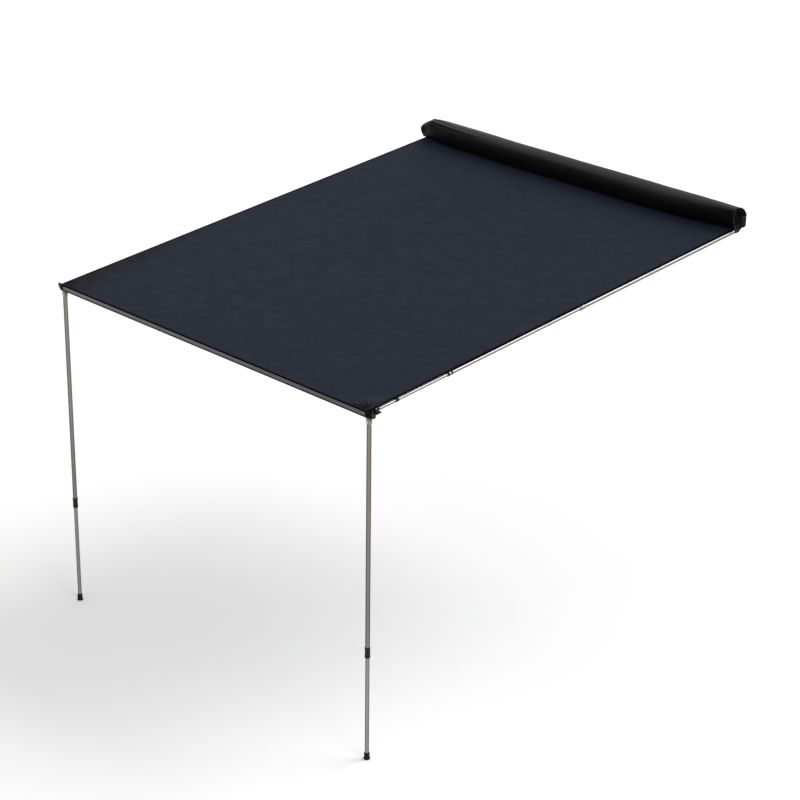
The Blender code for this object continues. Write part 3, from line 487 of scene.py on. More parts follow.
# Canopy: one sheet from the base's groove to a hem rolled over the bar, with hanging sides
SIDE_CURVE = ((0, 0), (0.0011, -0.0001), (0.0020, -0.0005), (0.0026, -0.0012),
              (0.0029, -0.0021), (0.0030, -0.0031))
FRONT_CURVE = ((0, 0), (0.0018, -0.0003), (0.0030, -0.0012), (0.0035, -0.0026),
               (0.0036, -0.0045), (0.0036, -0.0062))


def on_curve(curve, share):
    """A point on a curve of even steps, for a share from 0 to 1."""
    place = min(max(share, 0.0), 1.0) * (len(curve) - 1)
    i = min(int(place), len(curve) - 2)
    t = place - i
    return [a + (b - a) * t for a, b in zip(curve[i], curve[i + 1])]


CREASES = (
    # direction from the side edge in radians, and how far it runs in metres
    (0.26, 0.095), (0.47, 0.135), (0.68, 0.105), (0.89, 0.145), (1.11, 0.100), (1.32, 0.115),
)
CREASE_REACH = 0.18
SWELL_RIGHT, SWELL_LEFT = 0.0105, 0.0045
RIPPLE_PITCH = 0.061
RIPPLE_HEIGHT = 0.0011
# how far the fabric's outer side has turned, in radians, where the side and the front end
TURN_SIDE, TURN_FRONT = 1.45, 1.5
# the front roll grows shallow over the brackets, between these distances from the middle
ROLL_EASES = (1.226, 1.246)


def corner_folds(x, out, side, height):
    """A low swell near a front corner, cut by narrow creases that fan from the corner."""
    inward, back = HALF_WIDTH - side * x, FRONT - out
    distance = hypot(inward, back)
    if distance > CREASE_REACH or inward < 0.0 or back < 0.0:
        return 0.0
    angle = atan2(inward, back)
    swell = smooth(0.008, 0.030, distance) * smooth(0.175, 0.06, distance)
    swell *= smooth(0.009, 0.020, inward) * smooth(0.004, 0.014, back)
    cut = 0.0
    for direction, length in CREASES:
        turn = angle - direction - 0.04 * sin(60 * distance + 9 * direction)
        width = 0.0018 + 0.034 * distance
        fade = smooth(length, 0.5 * length, distance)
        cut = max(cut, fade * exp(-(distance * sin(turn) / width) ** 2))
    return height * swell * (1 - cut)


def canopy_above(x, out):
    """How far the fabric lies above its plane: a sag, soft unevenness, ripples along the
    cover and folds at the front corners."""
    share = min(max(x / (2 * HALF_WIDTH) + 0.5, 0), 1)
    along = min(max(out, 0), FLAT_FROM) / FLAT_FROM
    above = -SAG * sin(pi * share) * max(sin(pi * along), 0.0) ** 1.5
    inner = smooth(0, 0.16, HALF_WIDTH - abs(x)) * smooth(0, 0.3, FLAT_FROM - out)
    inner *= smooth(0, 0.2, out)
    above += 0.0018 * inner * noise.noise(Vector((x * 1.6 + 3.1, out * 1.3, 0.4)))
    above += 0.0004 * inner * noise.noise(Vector((x * 6.0, out * 4.2 + 7.0, 2.0)))
    edge = smooth(0.0, 0.05, HALF_WIDTH - abs(x))
    gather = exp(-((out - 0.05) / 0.10) ** 2) * smooth(-0.01, 0.03, out)
    phase = x / RIPPLE_PITCH + 0.8 * noise.noise(Vector((x * 4.0, 1.0, 5.0)))
    patch = 0.35 + 0.65 * smooth(-0.1, 0.3, noise.noise(Vector((x * 1.7, 8.0, 0.0))))
    above += RIPPLE_HEIGHT * edge * gather * patch * (0.5 + 0.5 * sin(2 * pi * phase))
    above += corner_folds(x, out, 1, SWELL_RIGHT) + corner_folds(x, out, -1, SWELL_LEFT)
    return above


def canopy_point(column, row, lift=0.0):
    """A point of the fabric from a column (x, share of the side's drop) and a row (out, share
    of the front roll), lifted off the fabric's outer side."""
    x, side_share = column
    out, roll_share = row
    side = 1 if x > 0 else -1
    beyond, drop = on_curve(SIDE_CURVE, side_share)
    forward, fall = on_curve(FRONT_CURVE, roll_share)
    fall *= 1 - 0.85 * smooth(*ROLL_EASES, abs(x))
    tilt_side = TURN_SIDE * smooth(0.0, 0.9, side_share)
    tilt_front = TURN_FRONT * smooth(0.0, 0.8, roll_share)
    lift_out = lift * sin(tilt_front)
    lift_side = lift * sin(tilt_side)
    lift_up = lift * cos(tilt_side) * cos(tilt_front)
    above = canopy_above(x, out) * (1 - roll_share) + drop + fall
    return on_canopy(x + side * (beyond + lift_side), out + forward + lift_out,
                     above + lift_up)


def shares_up_to_one(steps):
    return [i / steps for i in range(1, steps + 1)]


def make_canopy():
    edge = graded((0, 0.135, 0.0025), (0.135, 0.30, 0.008), (0.30, HALF_WIDTH, 0.026))
    right = [HALF_WIDTH - d for d in edge]
    inner = [(-x, 0.0) for x in right[:-1]] + [(x, 0.0) for x in right[::-1]]
    drop = shares_up_to_one(8)
    columns = [(-HALF_WIDTH, s) for s in drop[::-1]] + inner + [(HALF_WIDTH, s) for s in drop]
    places = graded((REAR, 0.0, 0.012), (0.0, 0.26, 0.009), (0.26, 2.64, 0.024),
                    (2.64, 2.86, 0.009), (2.86, FRONT, 0.0025))
    rows = [(out, 0.0) for out in places] + [(FRONT, s) for s in shares_up_to_one(7)]
    grid = [[canopy_point(column, row) for column in columns] for row in rows]
    cloth = add_piece("canopy_cloth", thick_grid(grid, CLOTH), CANOPY, "base",
                      ("canopy",), 60)
    hems = [make_side_hem(name, side, rows) for name, side in HAND]
    hems.append(make_front_hem(columns))
    hems += [make_side_stitches(name, side) for name, side in HAND]
    hems.append(make_front_stitches())
    hems += [make_corner_tie(name, side) for name, side in HAND]
    for piece in (cloth, *hems):
        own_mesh(piece)


HEM_WIDTHS = (0.0095, 0.0090, 0.0045, 0.0)
HEM_TIP = UP * 0.0006
# how far the outside of the bare fabric and of its tape lies from the fabric's middle
ON_CLOTH, ON_TAPE = CLOTH / 2, CLOTH / 2 + TAPE


def hem_loop(points, beneath):
    """A loop over an edge's points, each a column and a row, and back under them, where the
    tape's outside lies that far beneath the fabric's middle."""
    rest = len(points) - 1
    over = [canopy_point(*point, lift)
            for point, lift in zip(points, [ON_CLOTH] + [ON_TAPE] * rest)]
    under = [canopy_point(*point, -drop)
             for point, drop in zip(points, [ON_CLOTH] + [beneath] * rest)]
    return over + [canopy_point(*points[-1]) - HEM_TIP] + under[::-1]


def make_side_hem(name, side, rows):
    """Black binding round the side edge of the fabric."""
    columns = [((HALF_WIDTH - width) * side, 0.0) for width in HEM_WIDTHS]
    columns += [(HALF_WIDTH * side, share) for share in (0.2, 0.4, 0.6, 0.8, 0.93, 1.0)]
    loops = [hem_loop([(column, row) for column in columns], ON_TAPE)[::side] for row in rows]
    return add_piece(f"canopy_hem_{name}", swept(loops), LINING, "base")


def make_front_hem(columns):
    """Black binding along the rolled front edge, over the bar's face."""
    rows = [(FRONT - 0.004, 0.0)] + [(FRONT, s / 10) for s in (0, 2, 4, 6, 8, 9, 10)]
    loops = [hem_loop([(column, row) for row in rows], CLOTH / 2 + TAPE / 3)[::-1]
             for column in columns]
    return add_piece("canopy_hem_front", swept(loops), LINING, "base")


STITCH_PITCH = 0.0062
STITCH_HALF_LENGTH = 0.0021
STITCH_HALF_WIDTH = 0.00035
STITCH_SINK = 0.00008


def stitch(shape, centre, along, wide, up):
    """Add one flat stitch of thread with a raised middle."""
    verts, faces = shape
    first = len(verts)
    for height, size in ((0.0, 1.0), (0.00035, 0.6)):
        for a, b in SQUARE:
            verts.append(centre + along * a * size + wide * b * size + up * height)
    faces.append([first + i for i in (3, 2, 1, 0)])
    faces.append([first + i for i in (4, 5, 6, 7)])
    for i in range(4):
        j = (i + 1) % 4
        faces.append([first + k for k in (i, j, 4 + j, 4 + i)])


def add_stitches(name, places, along, wide):
    """Stitches on the canopy, whose places are x, out and lift."""
    shape = [], []
    for x, out, lift in places:
        at = canopy_point((x, 0.0), (out, 0.0), lift - STITCH_SINK)
        stitch(shape, at, along, wide, UP)
    return add_piece(f"canopy_stitches_{name}", shape, THREAD, "base",
                     sharp=80)


def make_side_stitches(name, side):
    """Two rows along a side, one through the hem's tape and one inside it."""
    places = [((HALF_WIDTH - inset) * side, 0.012 + i * STITCH_PITCH, lift)
              for inset, lift in ((0.0068, ON_TAPE), (0.0430, ON_CLOTH))
              for i in range(int(2.97 / STITCH_PITCH))]
    return add_stitches(name, places, OUT * STITCH_HALF_LENGTH,
                        Vector((STITCH_HALF_WIDTH, 0, 0)))


def make_front_stitches():
    """Two rows along the front, one through the hem's tape and one behind it."""
    places = [(-1.235 + i * STITCH_PITCH, out, lift)
              for out, lift in ((2.9960, ON_TAPE), (2.9705, ON_CLOTH))
              for i in range(int(2.47 / STITCH_PITCH))]
    return add_stitches("front", places, Vector((STITCH_HALF_LENGTH, 0, 0)),
                        OUT * STITCH_HALF_WIDTH)


TIE_X = 1.2369
TIE_HALF_THICK = 0.0005
TIE_START, TIE_WIDTH, TIE_STEPS = 2.9290, 0.0225, 12
TIE_FOOT = -0.0300


def make_corner_tie(name, side):
    """A strip of ribbed webbing from the fabric's front corner down to the bracket."""
    loops = []
    for step in range(TIE_STEPS + 1):
        out = TIE_START + TIE_WIDTH * step / TIE_STEPS
        top = canopy_above(side * TIE_X, out) - 0.0002
        ridge = 0.0001 * (step % 2)
        near, far = TIE_X - TIE_HALF_THICK - ridge, TIE_X + TIE_HALF_THICK + ridge
        heights = [top + (TIE_FOOT - top) * i / 6 for i in range(7)]
        ring = [(near, height) for height in heights]
        ring += [(far, height) for height in heights[::-1]]
        loops.append([on_canopy(side * x, out, height) for x, height in ring][::-side])
    return add_piece(f"canopy_corner_tie_{name}", swept(loops), WEBBING, "base",
                     sharp=50)


# Storage cover: a lofted shell over the base, drawn in on the left and open on the right
BAG_HALF = 1.267
BAG_LIP = Vector((-0.10, -0.025626))
BAG_START = Vector((-0.012, 0.03155))
BAG_FRONT = 0.1285
BAG_HEIGHT = 0.140
BAG_SAG_OUT = 0.050
BAG_SAG_DROP = 0.031
BAG_SHAPE = (
    # out, up, and the shares of the sag out and down that the point takes midway
    (0.035, 0.511, 0.0, 0.03), (0.187, 0.725, 0.0, 0.06), (0.436, 0.904, 0.0, 0.13),
    (0.732, 1.0, 0.25, 0.17), (0.926, 0.939, 0.62, 0.51), (1.0, 0.739, 0.87, 0.84),
    (0.984, 0.504, 0.91, 1.0), (0.903, 0.254, 0.88, 0.94), (0.806, 0.054, 0.21, 0.23),
)
BAG_KNOWN = [
    BAG_START,
    *[Vector((-BAG_FRONT * a, BAG_LIP.y + BAG_HEIGHT * b)) for a, b, _, _ in BAG_SHAPE],
    BAG_LIP,
]
BAG_SAG = [
    Vector((0, 0)),
    *[Vector((-BAG_SAG_OUT * a, -BAG_SAG_DROP * b)) for _, _, a, b in BAG_SHAPE],
    Vector((0, 0)),
]
BAG_CLOSED = [Vector(point) for point in (
    (-0.0120, 0.03155), (-0.0070, 0.0420), (-0.0200, 0.0545), (-0.0500, 0.0640),
    (-0.0800, 0.0610), (-0.1080, 0.0540), (-0.1240, 0.0430), (-0.1270, 0.0260),
    (-0.1190, 0.0060), (-0.1070, -0.0140), (-0.1000, -0.0256),
)]
BAG_MIDDLE = Vector((-0.072, 0.040))
BAG_THICK = 0.0016
BAG_ROUND = [i / 120 for i in range(121)]
BAG_SLUMP = (0.004, -0.010)
BAG_CLOSES_FROM, BAG_CLOSES_OVER = -1.172, 0.095
BAG_FOLDS = (
    # place round the section, drift along, width, height, fades out from the left end by
    (0.21, 0.05, 0.016, 0.0050, 0.62),
    (0.30, -0.03, 0.018, 0.0062, 0.95),
    (0.40, 0.04, 0.014, 0.0048, 0.50),
    (0.49, -0.02, 0.018, 0.0060, 0.75),
    (0.61, 0.03, 0.020, 0.0040, 0.42),
)
BAG_SWELLS = (
    # place round the section, width, height, and where it starts and ends along the cover
    (0.36, 0.05, 0.0016, -0.5, 1.25), (0.55, 0.04, 0.0014, -0.9, 0.6),
    (0.24, 0.03, 0.0020, 0.75, 1.26), (0.47, 0.03, 0.0018, 0.95, 1.27),
)
BAG_RIM = (
    # how far inside an end, and how far towards the section's middle
    (0.0005, 0.03), (0.003, 0.055), (0.008, 0.065),
)
BAG_ENDS = {
    # by side: how far inside the rim the end's cloth lies, how far its edge is drawn in, the
    # height of its middle, and the heights of its edge over the base
    1: (0.011, 0.045, BAG_MIDDLE.y, (0.0330, 0.0345)),
    -1: (0.004, 0.03, 0.012, (0.0335, 0.0342)),
}
BAG_END_THICK = 0.0012


def bag_section(points, u):
    """A smooth curve through points, for u from 0 to 1."""
    last = len(points) - 1
    i = min(int(u * last), last - 1)
    t = u * last - i
    a, b, c, d = [points[min(max(k, 0), last)] for k in range(i - 1, i + 3)]
    return 0.5 * (2 * b + (c - a) * t + (2 * a - 5 * b + 4 * c - d) * t ** 2
                  + (3 * b - a - 3 * c + d) * t ** 3)


def bag_surface(x, u, shrink=0.0):
    """The cover's outside at x and at u round its section, 0 on the base and 1 at the lip."""
    u = min(max(u, 0.0), 1.0)
    along = x / BAG_HALF
    sag = 1 - along ** 6
    sag *= 1 + 0.10 * noise.noise(Vector((x * 2.1, 5.0, 2.0)))
    known = [a + b * sag for a, b in zip(BAG_KNOWN, BAG_SAG)]
    point = bag_section(known, u)
    heading = bag_section(known, min(u + 0.01, 1)) - bag_section(known, max(u - 0.01, 0))
    heading.normalize()
    normal = Vector((heading.y, -heading.x))
    free = sin(pi * u)
    slump = free * along ** 6
    point = point + Vector([part * slump for part in BAG_SLUMP])
    push = 0.0
    for place, drift, width, height, reach in BAG_FOLDS:
        far = (x + BAG_HALF) / reach
        fade = smooth(1.0, 0.15, far) * (0.35 + 0.65 * smooth(0.0, 0.2, far))
        centre = place + drift * far + 0.012 * sin(5.0 * far + 9 * place)
        push += height * fade * exp(-((u - centre) / width) ** 2)
    for place, width, height, start, end in BAG_SWELLS:
        fade = smooth(start, start + 0.3, x) * smooth(end + 0.02, end - 0.25, x)
        centre = place + 0.02 * sin(2.3 * x + 20 * place)
        push += height * fade * exp(-((u - centre) / width) ** 2)
    push += 0.0018 * free * noise.noise(Vector((x * 2.6, u * 3.0, 1.7)))
    push += 0.0007 * free * noise.noise(Vector((x * 9.0, u * 9.0, 4.0)))
    push += 0.0012 * free * smooth(1.16, 1.265, x) * sin(26 * u + 1)
    # the left end is drawn in and flattened
    left = min(max((BAG_CLOSES_FROM - x) / BAG_CLOSES_OVER, 0.0), 1.0)
    left = 0.7 * left ** 1.25 + 0.3 * smooth(0.0, 1.0, left)
    point = (point + normal * push).lerp(bag_section(BAG_CLOSED, u), left)
    point = point.lerp(BAG_MIDDLE, shrink)
    return Vector((x, point.x, point.y))


def bag_outward(x, u):
    """The outward direction of the cover's outside."""
    a = bag_surface(x, min(u + 0.01, 1)) - bag_surface(x, max(u - 0.01, 0))
    b = bag_surface(min(x + 0.004, BAG_HALF), u) - bag_surface(x - 0.004, u)
    normal = b.cross(a)
    normal.normalize()
    return normal


def make_bag():
    places = graded((-BAG_HALF, -1.08, 0.006), (-1.08, -0.3, 0.016), (-0.3, 1.05, 0.03),
                    (1.05, BAG_HALF, 0.008))
    grid = [[bag_surface(x, u) for u in BAG_ROUND] for x in places]
    # each end turns in: a rounded rim and a short flap inside
    for end, x, sign in ((0, -BAG_HALF, 1), (-1, BAG_HALF, -1)):
        turned_in = []
        for depth, shrink in BAG_RIM:
            turned_in.append([
                bag_surface(x, u, shrink * sin(pi * u) ** 0.5) + Vector((sign * depth, 0, 0))
                for u in BAG_ROUND
            ])
        grid = turned_in[::-1] + grid if end == 0 else grid + turned_in
    add_piece("bag_shell", thick_grid(grid, BAG_THICK), BAG, "base",
              ("bag_cover",), 70)
    for name, side in HAND:
        make_bag_end(name, side)
        make_bag_binding(name, side)
    make_zip()


def make_bag_end(name, side):
    """The cloth of an end: tucked in and creased on the right, gathered shut on the left."""
    inset, shrink, middle, heights = BAG_ENDS[side]
    x = side * (BAG_HALF - inset)
    rim = [bag_surface(side * BAG_HALF, u, shrink) for u in BAG_ROUND]
    rim += [Vector((0, -0.092 + 0.004 * i, -0.0235)) for i in range(1, 14)]
    rim += [Vector((0, -0.0352, -0.020 + 0.004 * i)) for i in range(13)]
    rim += [Vector((0, y, z)) for y, z in zip((-0.0352, -0.024), heights)]
    rings = 30
    count = len(rim)
    size = rings * count + 1
    centre = Vector((0, BAG_MIDDLE.x, middle))
    verts, faces = [], []
    for layer in (0, 1):
        for ring in range(rings):
            share = 1 - ring / rings
            for i, point in enumerate(rim):
                flat = Vector((0, point.y, point.z)).lerp(centre, 1 - share)
                sink = end_depth(flat, share, i / count, side) + layer * BAG_END_THICK
                verts.append(Vector((x - side * sink, flat.y, flat.z)))
        sink = end_depth(centre, 0.0, 0.0, side) + layer * BAG_END_THICK
        verts.append(Vector((x - side * sink, centre.y, centre.z)))
        offset = layer * size
        flip = (side > 0) == (layer == 1)
        faces += quads(rings, count, offset, flip, closed=True)
        last = offset + (rings - 1) * count
        for i in range(count):
            face = [offset + size - 1, last + i, last + (i + 1) % count]
            faces.append(face if not flip else face[::-1])
    for i in range(count):
        j = (i + 1) % count
        face = [i, j, size + j, size + i]
        faces.append(face if side > 0 else face[::-1])
    look = BAG_INSIDE if side > 0 else BAG
    add_piece(f"bag_end_{name}", (verts, faces), look, "base", sharp=80)


def end_depth(flat, share, turn, side):
    """How far an end's cloth lies inside its rim: share is 1 at the rim and 0 in the middle,
    and turn goes once round it."""
    if side > 0:
        wave = 0.62 * flat.y + 0.78 * flat.z + 0.006 * noise.noise(flat * 30)
        fold = abs(sin(pi * wave / 0.015)) ** 0.8
        rough = noise.noise(Vector((flat.y * 40, flat.z * 26, 3)))
        return smooth(1.0, 0.75, share) * (0.010 + 0.012 * fold + 0.006 * rough)
    pleats = sin(2 * pi * 19 * turn + 2.0 * noise.noise(flat * 24))
    dome = (1 - share ** 2) ** 0.5
    return -0.0065 * dome + 0.0014 * pleats * share ** 2 * (1 - share) * 4


def make_bag_binding(name, side):
    """Round binding sewn along the rim of an end."""
    radius, steps = 0.0024, 60
    loops = []
    for i in range(steps + 1):
        u = i / steps
        out = bag_outward(side * BAG_HALF, u)
        centre = bag_surface(side * BAG_HALF, u) - Vector((side * 0.0012, 0, 0)) - out * 0.0004
        loops.append([centre + (out * cos(a) + ALONG * sin(a)) * radius
                      for a in [2 * pi * k / 10 for k in range(10)]])
    add_piece(f"bag_binding_{name}", swept(loops), BINDING, "base", sharp=50)


ZIP_PLACE = 0.934
ZIP_PITCH = 0.0034
SLIDER_X = 1.205
SLIDER_SHAPE = (
    # along the zip, and half its width there
    (-0.0090, 0.0030), (-0.0065, 0.0052), (0.0, 0.0056), (0.0065, 0.0042), (0.0085, 0.0024),
)


def make_zip():
    """Zip tape along the lip, a row of teeth, and a slider."""
    places = graded((-1.235, 1.235, 0.02))
    grid = [[bag_surface(x, u) + bag_outward(x, u) * 0.0016
             for u in (0.900, 0.917, ZIP_PLACE, 0.951, 0.968)] for x in places]
    add_piece("bag_zip_tape", thick_grid(grid, 0.0008), LINING, "base",
              ("bag_zip",), 60)
    teeth = [], []
    for i in range(int(2.46 / ZIP_PITCH)):
        x = -1.23 + i * ZIP_PITCH
        up = bag_outward(x, ZIP_PLACE)
        at = bag_surface(x, ZIP_PLACE) + up * 0.0019
        tall = up.cross(ALONG) * 0.0022
        stitch(teeth, at, Vector((0.0011, 0, 0)), tall, up * 4.0)
    add_piece("bag_zip_teeth", teeth, BLACK, "base", sharp=50)
    up = bag_outward(SLIDER_X, ZIP_PLACE)
    low = up.cross(ALONG)
    at = bag_surface(SLIDER_X, ZIP_PLACE) + up * 0.0030
    loops = []
    for along, half in SLIDER_SHAPE:
        middle = at + Vector((along, 0, 0))
        loops.append([middle + low * half * a + up * b
                      for a, b in ((1, 0.0014), (1, -0.0010), (-1, -0.0010), (-1, 0.0014))])
    add_piece("bag_zip_slider", swept(loops), ZINC, "base", sharp=30)


# Tubes, collars, rings and feet, with profiles of (radius, distance along the axis)
ARM_TUBES = (
    # each tube and its body, and its start and end
    ("outer", "arm", 0.0193, 1.370), ("middle", "arm_middle", 1.170, 2.420),
    ("inner", "arm_tip", 2.170, 2.935),
)
ARM_LOCKS = (
    # each lock and its start, and the looks of its collar and of the band round it
    ("rear", 1.352, TUBE_OUT, TUBE_OUT, "aluminium"),
    ("front", 2.402, BLACK, ZINC, "black_plastic"),
)
ARM_RING_AT = 2.81
# wall, length, and how far the thicker tube goes in
ARM_COLLAR = (0.0022, 0.036, 0.018)
LEG_COLLAR = (0.0027, 0.062, 0.0372)
LEG_COLLAR_TOP = 0.687
GRIP_ROWS = (2, 3, 12, 13)
GRIP_RIBS = 24


def tube_profile(radius, start, end):
    edge = 0.0003
    bore = radius - TUBE_WALL
    return [(radius - edge, start), (radius, start + edge), (radius, end - edge),
            (radius - edge, end), (bore + edge, end), (bore, end - edge),
            (bore, start + edge), (bore + edge, start)]


def collar_profile(tube, inner, wall, length, step):
    """A twist lock: a ribbed band at each end, a waist between and a fine parting line."""
    outer = tube + GAP + wall
    waist = outer - wall / 3
    band = length / 5
    edge = band / 3
    middle = length / 2
    line = length / 40
    return [
        (waist - 0.0002, 0), (outer - 0.0003, edge * 0.5), (outer, edge),
        (outer, band - edge / 2), (outer - 0.0004, band), (waist, band + edge),
        (waist, middle - 2 * line),
        (waist - 0.0005, middle - line), (waist - 0.0005, middle + line),
        (waist, middle + 2 * line), (waist, length - band - edge),
        (outer - 0.0004, length - band), (outer, length - band + edge / 2),
        (outer, length - edge), (outer - 0.0003, length - edge * 0.5),
        (waist - 0.0002, length), (inner + GAP, length), (inner + GAP, step + GAP),
        (tube + GAP, step + GAP), (tube + GAP, 0),
    ]


def grips(depth):
    return [(row, depth, GRIP_RIBS) for row in GRIP_ROWS]


def make_arm(name, side):
    origin = on_canopy(side * ARM_X, ARM_PIVOT, -ARM_BELOW)
    for (kind, body, start, end), radius in zip(ARM_TUBES, ARM_RADII):
        turned(f"arm_{kind}_tube_{name}", tube_profile(radius, start, end), origin, OUT,
               TUBE_OUT, f"{body}_{name}")
    wall = ARM_COLLAR[0]
    for i, (kind, start, look, band_look, slot) in enumerate(ARM_LOCKS):
        tubes = ARM_RADII[i:i + 2]
        at = origin + OUT * start
        body = f"arm_{kind}_lock_{name}"
        turned(f"arm_{kind}_collar_{name}", collar_profile(*tubes, *ARM_COLLAR), at, OUT,
               look, body, 96, grips(0.00045))
        radius = tubes[0] + GAP + wall * 2 / 3
        band = [(radius - 0.0002, 0.0150), (radius + 0.0005, 0.0155),
                (radius + 0.0005, 0.0205), (radius - 0.0002, 0.0210),
                (radius - 0.0008, 0.0210), (radius - 0.0008, 0.0150)]
        turned(f"arm_{kind}_collar_band_{name}", band, at, OUT, band_look, body,
               extra=True)
    bore = ARM_RADII[-1] + GAP
    top, low = bore + wall, bore + wall * 2 / 3
    ring = [(low, -0.012), (top - 0.0003, -0.0108), (top, -0.0096), (top, -0.0050),
            (top - 0.0004, -0.0036), (low, -0.0024), (low - 0.0004, -0.0008),
            (low - 0.0004, 0.0008), (low, 0.0024), (top - 0.0004, 0.0036), (top, 0.0050),
            (top, 0.0096), (top - 0.0003, 0.0108), (low, 0.012), (bore, 0.012),
            (bore, -0.012)]
    turned(f"arm_stop_ring_{name}", ring, origin + OUT * ARM_RING_AT, OUT, BLACK,
           f"arm_tip_{name}")
    refined(f"arm_end_{name}", BLACK, 0.0006)
    refined(f"arm_end_bolt_{name}", ZINC, 0.0004)
    refined(f"arm_knuckle_{name}", BLACK, 0.0006)
    refined(f"arm_hinge_{name}", BLACK, 0.0007)
    refined(f"arm_hinge_pin_{name}", ZINC, 0.0004)


def make_leg(name, side):
    ground = Vector((side * LEG_X, LEG_Y, GROUND_Z))
    up = -DOWN
    outer, inner = LEG_RADII
    turned(f"leg_upper_tube_{name}", tube_profile(outer, 0.6498, LEG_PIN - 0.0188), ground,
           up, TUBE_UP, f"leg_{name}")
    turned(f"leg_lower_tube_{name}", tube_profile(inner, 0.0083, 0.8998), ground, up,
           TUBE_LOW, f"leg_lower_{name}")
    turned(f"leg_collar_{name}", collar_profile(outer, inner, *LEG_COLLAR),
           ground + up * LEG_COLLAR_TOP, DOWN, BLACK, f"leg_lock_{name}", 96,
           grips(0.0006))
    bore, neck = inner + GAP, inner + GAP + 0.004
    foot = [(0, 0.0), (0.0162, 0.0), (0.0174, 0.0006), (0.0180, 0.0016), (0.0180, 0.0052),
            (0.0176, 0.0064), (0.0163, 0.0086), (neck + 0.0002, 0.0112), (neck, 0.0150),
            (neck, 0.0190), (neck - 0.0007, 0.0198), (neck - 0.0007, 0.0212), (neck, 0.0220),
            (neck, 0.0260), (neck - 0.0007, 0.0268), (neck - 0.0007, 0.0282),
            (neck, 0.0290), (neck, 0.0380), (neck - 0.0006, 0.0394), (neck - 0.0016, 0.0400),
            (bore, 0.0400), (bore, 0.0080), (0, 0.0080)]
    turned(f"leg_foot_{name}", foot, ground, up, RUBBER, f"leg_lower_{name}")
    refined(f"leg_fork_{name}", CAST, 0.0007)
    refined(f"leg_pin_{name}", ZINC, 0.0004)
    refined(f"leg_knuckle_{name}", CAST, 0.0006)


# Base, bar, brackets and small parts
def make_hard_parts():
    refined("base_extrusion", PROFILE, 0.0004, steps=1)
    refined("front_bar", PROFILE, 0.0005)
    for name, side in HAND:
        refined(f"base_end_cap_{name}", CAP, 0.0009)
        refined(f"corner_bracket_{name}", BLACK, 0.0006)
        refined(f"mounting_bracket_{name}", POWDER, 0.0007)
        for row in ("low", "high"):
            refined(f"bracket_bolt_{name}_{row}", ZINC, 0.0004)
            refined(f"bracket_nut_{name}_{row}", ZINC, 0.0004)
        make_rope_eye_bush(name, side)
        make_corner_fin(name, side)
    for node in ("canopy_keder_rear", "canopy_keder_front"):
        refined(node, LINING, 0.0003)
    make_bar_shade_strip()


# places on the canopy's plane: x, out and above
ROPE_EYE = (1.2804, 2.985, -0.0192)
FIN = ((1.2637, 1.2657), (2.9600, 2.9900), (-0.0350, -0.0170))
BAR_BOTTOM = -0.03705


def make_rope_eye_bush(name, side):
    """A steel thimble pressed into the rope eye."""
    centre = on_canopy(side * ROPE_EYE[0], *ROPE_EYE[1:])
    profile = [(0.0055, -0.0036), (0.0066, -0.0046), (0.0090, -0.0040), (0.0098, -0.0030),
               (0.0091, -0.0015), (0.0091, 0.0015), (0.0098, 0.0030), (0.0090, 0.0040),
               (0.0066, 0.0046), (0.0055, 0.0036)]
    turned(f"rope_eye_bush_{name}", profile, centre, OUT, DARK_STEEL, "front_bar_body",
           40, sharp=60, extra=True)


def make_corner_fin(name, side):
    """The bracket's outer fin, which stands beside the arm's end and clear of its path."""
    (x0, x1), (out0, out1), (low, high) = FIN
    edge = 0.0004
    loops = []
    for x, inset in ((x0, edge), (x0 + edge, 0), (x1 - edge, 0), (x1, edge)):
        a, b, c, d = out0 + inset, out1 - inset, low, high - inset
        ring = [(a, c), (b, c), (b, d - edge), (b - edge, d), (a + edge, d), (a, d - edge)]
        loops.append([on_canopy(side * x, out, above) for out, above in ring][::-side])
    add_piece(f"corner_fin_{name}", swept(loops), BLACK, "front_bar_body",
              sharp=30)


def make_bar_shade_strip():
    """A black strip on the lower step of the bar's face, a dark sheet that stands for the
    shade along the bar's bottom.
    """
    top, bottom = BAR_BOTTOM + 0.0122, BAR_BOTTOM - 0.0012
    face = LENGTH - 0.0015
    section = [(face + 0.0001, top), (face + 0.0011, top - 0.0003),
               (face + 0.0014, top - 0.001), (face + 0.0014, bottom + 0.001),
               (face + 0.0009, bottom + 0.0002), (face - 0.0010, bottom),
               (face - 0.0200, bottom), (face - 0.0204, bottom + 0.0004),
               (face - 0.0204, bottom + 0.00115), (face + 0.0001, bottom + 0.00115)]
    loops = [[on_canopy(x, out, above) for out, above in section]
             for x in graded((-1.2305, 1.2305, 0.2))]
    # painted shade: a dark strip where the bottom of the bar's face lies in shade
    add_piece("front_bar_strip", swept(loops), RUBBER, "front_bar_body", sharp=50)


make_canopy()
make_bag()
make_hard_parts()
for hand, sign in HAND:
    make_arm(hand, sign)
    make_leg(hand, sign)


# Floor, world, lights and camera
FLOOR_SIZE = 90.0
FLOOR_GAP = 0.0002
FLOOR_GLOW = 0.22
WORLD_LIGHT, WORLD_SEEN = 0.55, 1.0
CAMERA_AT = (8.736, -10.477, 4.361)
CAMERA_TURN, CAMERA_DOWN, CAMERA_ROLL = 44.48, 23.51, 0.74  # degrees
SENSOR = 36
FOCAL_LENGTH = 2290 * SENSOR / 800  # 2290 pixels, in a picture 800 pixels wide


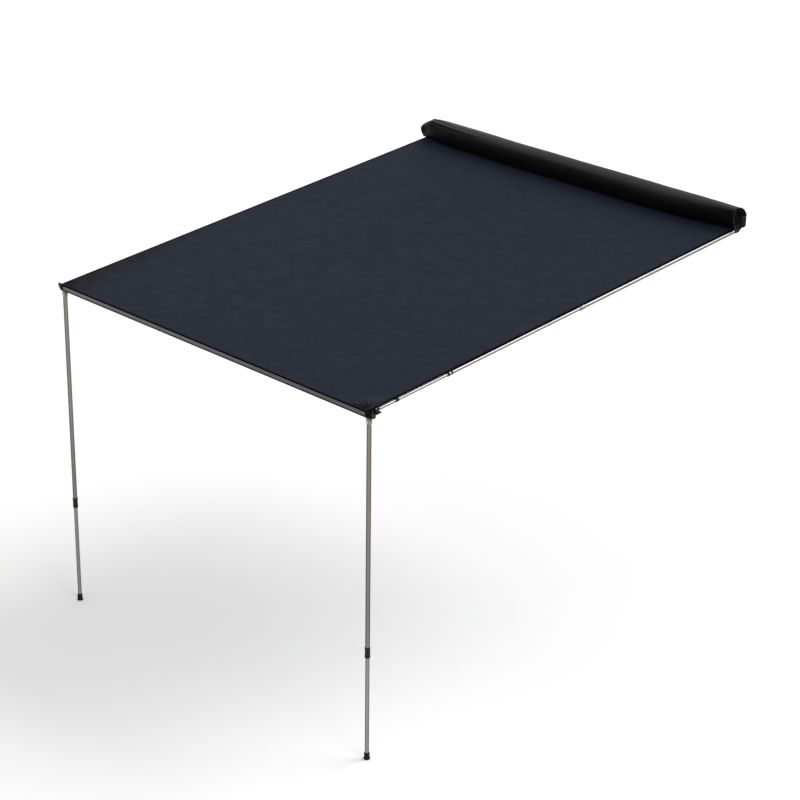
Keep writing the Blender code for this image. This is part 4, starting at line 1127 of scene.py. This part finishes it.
def make_floor():
    half = FLOOR_SIZE / 2
    mesh = bpy.data.meshes.new("floor")
    corners = [(x * half, y * half, GROUND_Z - FLOOR_GAP) for x, y in SQUARE]
    mesh.from_pydata(corners, [], [(0, 1, 2, 3)])
    look = Look("floor", (0.90, 0.90, 0.90), 0.9, specular=0.1)
    pale = look.mix(look.span(look.noise(0.6, 3.0), 0.0, 1.0), (0.91, 0.91, 0.905),
                    (0.89, 0.89, 0.89))
    look.link(pale, "Base Color")
    path = look.tree.nodes.new("ShaderNodeLightPath").outputs
    seen = look.math("MAXIMUM", path["Is Camera Ray"], path["Is Glossy Ray"])
    look.set("Emission Color", (1, 1, 1, 1))
    look.link(look.math("MULTIPLY", seen, FLOOR_GLOW), "Emission Strength")
    mesh.materials.append(look.material)
    floor = bpy.data.objects.new("floor", mesh)
    scene.collection.objects.link(floor)


def make_world():
    world = bpy.data.worlds.new("studio")
    scene.world = world
    world.use_nodes = True
    tree = world.node_tree
    tree.nodes.clear()
    path = tree.nodes.new("ShaderNodeLightPath").outputs
    light, white = [
        add_node(tree, "ShaderNodeBackground", {"Color": (1, 1, 1, 1), "Strength": strength})
        for strength in (WORLD_LIGHT, WORLD_SEEN)
    ]
    seen = path["Is Camera Ray"]
    for ray in ("Is Glossy Ray", "Is Transmission Ray"):
        seen = add_node(tree, "ShaderNodeMath", {0: seen, 1: path[ray]}, operation="MAXIMUM")
    mixed = add_node(tree, "ShaderNodeMixShader", {0: seen, 1: light, 2: white})
    tree.links.new(mixed, tree.nodes.new("ShaderNodeOutputWorld").inputs[0])


def make_light(name, energy, size, place, target):
    light = bpy.data.lights.new(name, "SUN")
    light.energy = energy
    light.angle = size
    obj = bpy.data.objects.new(name, light)
    scene.collection.objects.link(obj)
    obj.location = place
    heading = Vector(target) - Vector(place)
    obj.rotation_euler = heading.to_track_quat("-Z", "Y").to_euler()


def make_camera():
    data = bpy.data.cameras.new("camera")
    data.sensor_width = SENSOR
    data.sensor_fit = "HORIZONTAL"
    data.lens = FOCAL_LENGTH
    data.clip_end = 200
    camera = bpy.data.objects.new("camera", data)
    scene.collection.objects.link(camera)
    turn = Matrix.Rotation(radians(CAMERA_TURN), 4, "Z")
    turn = turn @ Matrix.Rotation(radians(90 - CAMERA_DOWN), 4, "X")
    turn = turn @ Matrix.Rotation(radians(CAMERA_ROLL), 4, "Z")
    camera.matrix_world = Matrix.Translation(CAMERA_AT) @ turn
    scene.camera = camera


make_floor()
make_world()
make_light("key", 1.5, radians(36), (2.5, 3.5, 6.0), (0, -1.5, 0))
make_light("side", 0.7, radians(24), (9.0, -3.0, 2.5), (0, -1.5, -1.0))
make_camera()
scene.view_settings.view_transform = "Standard"
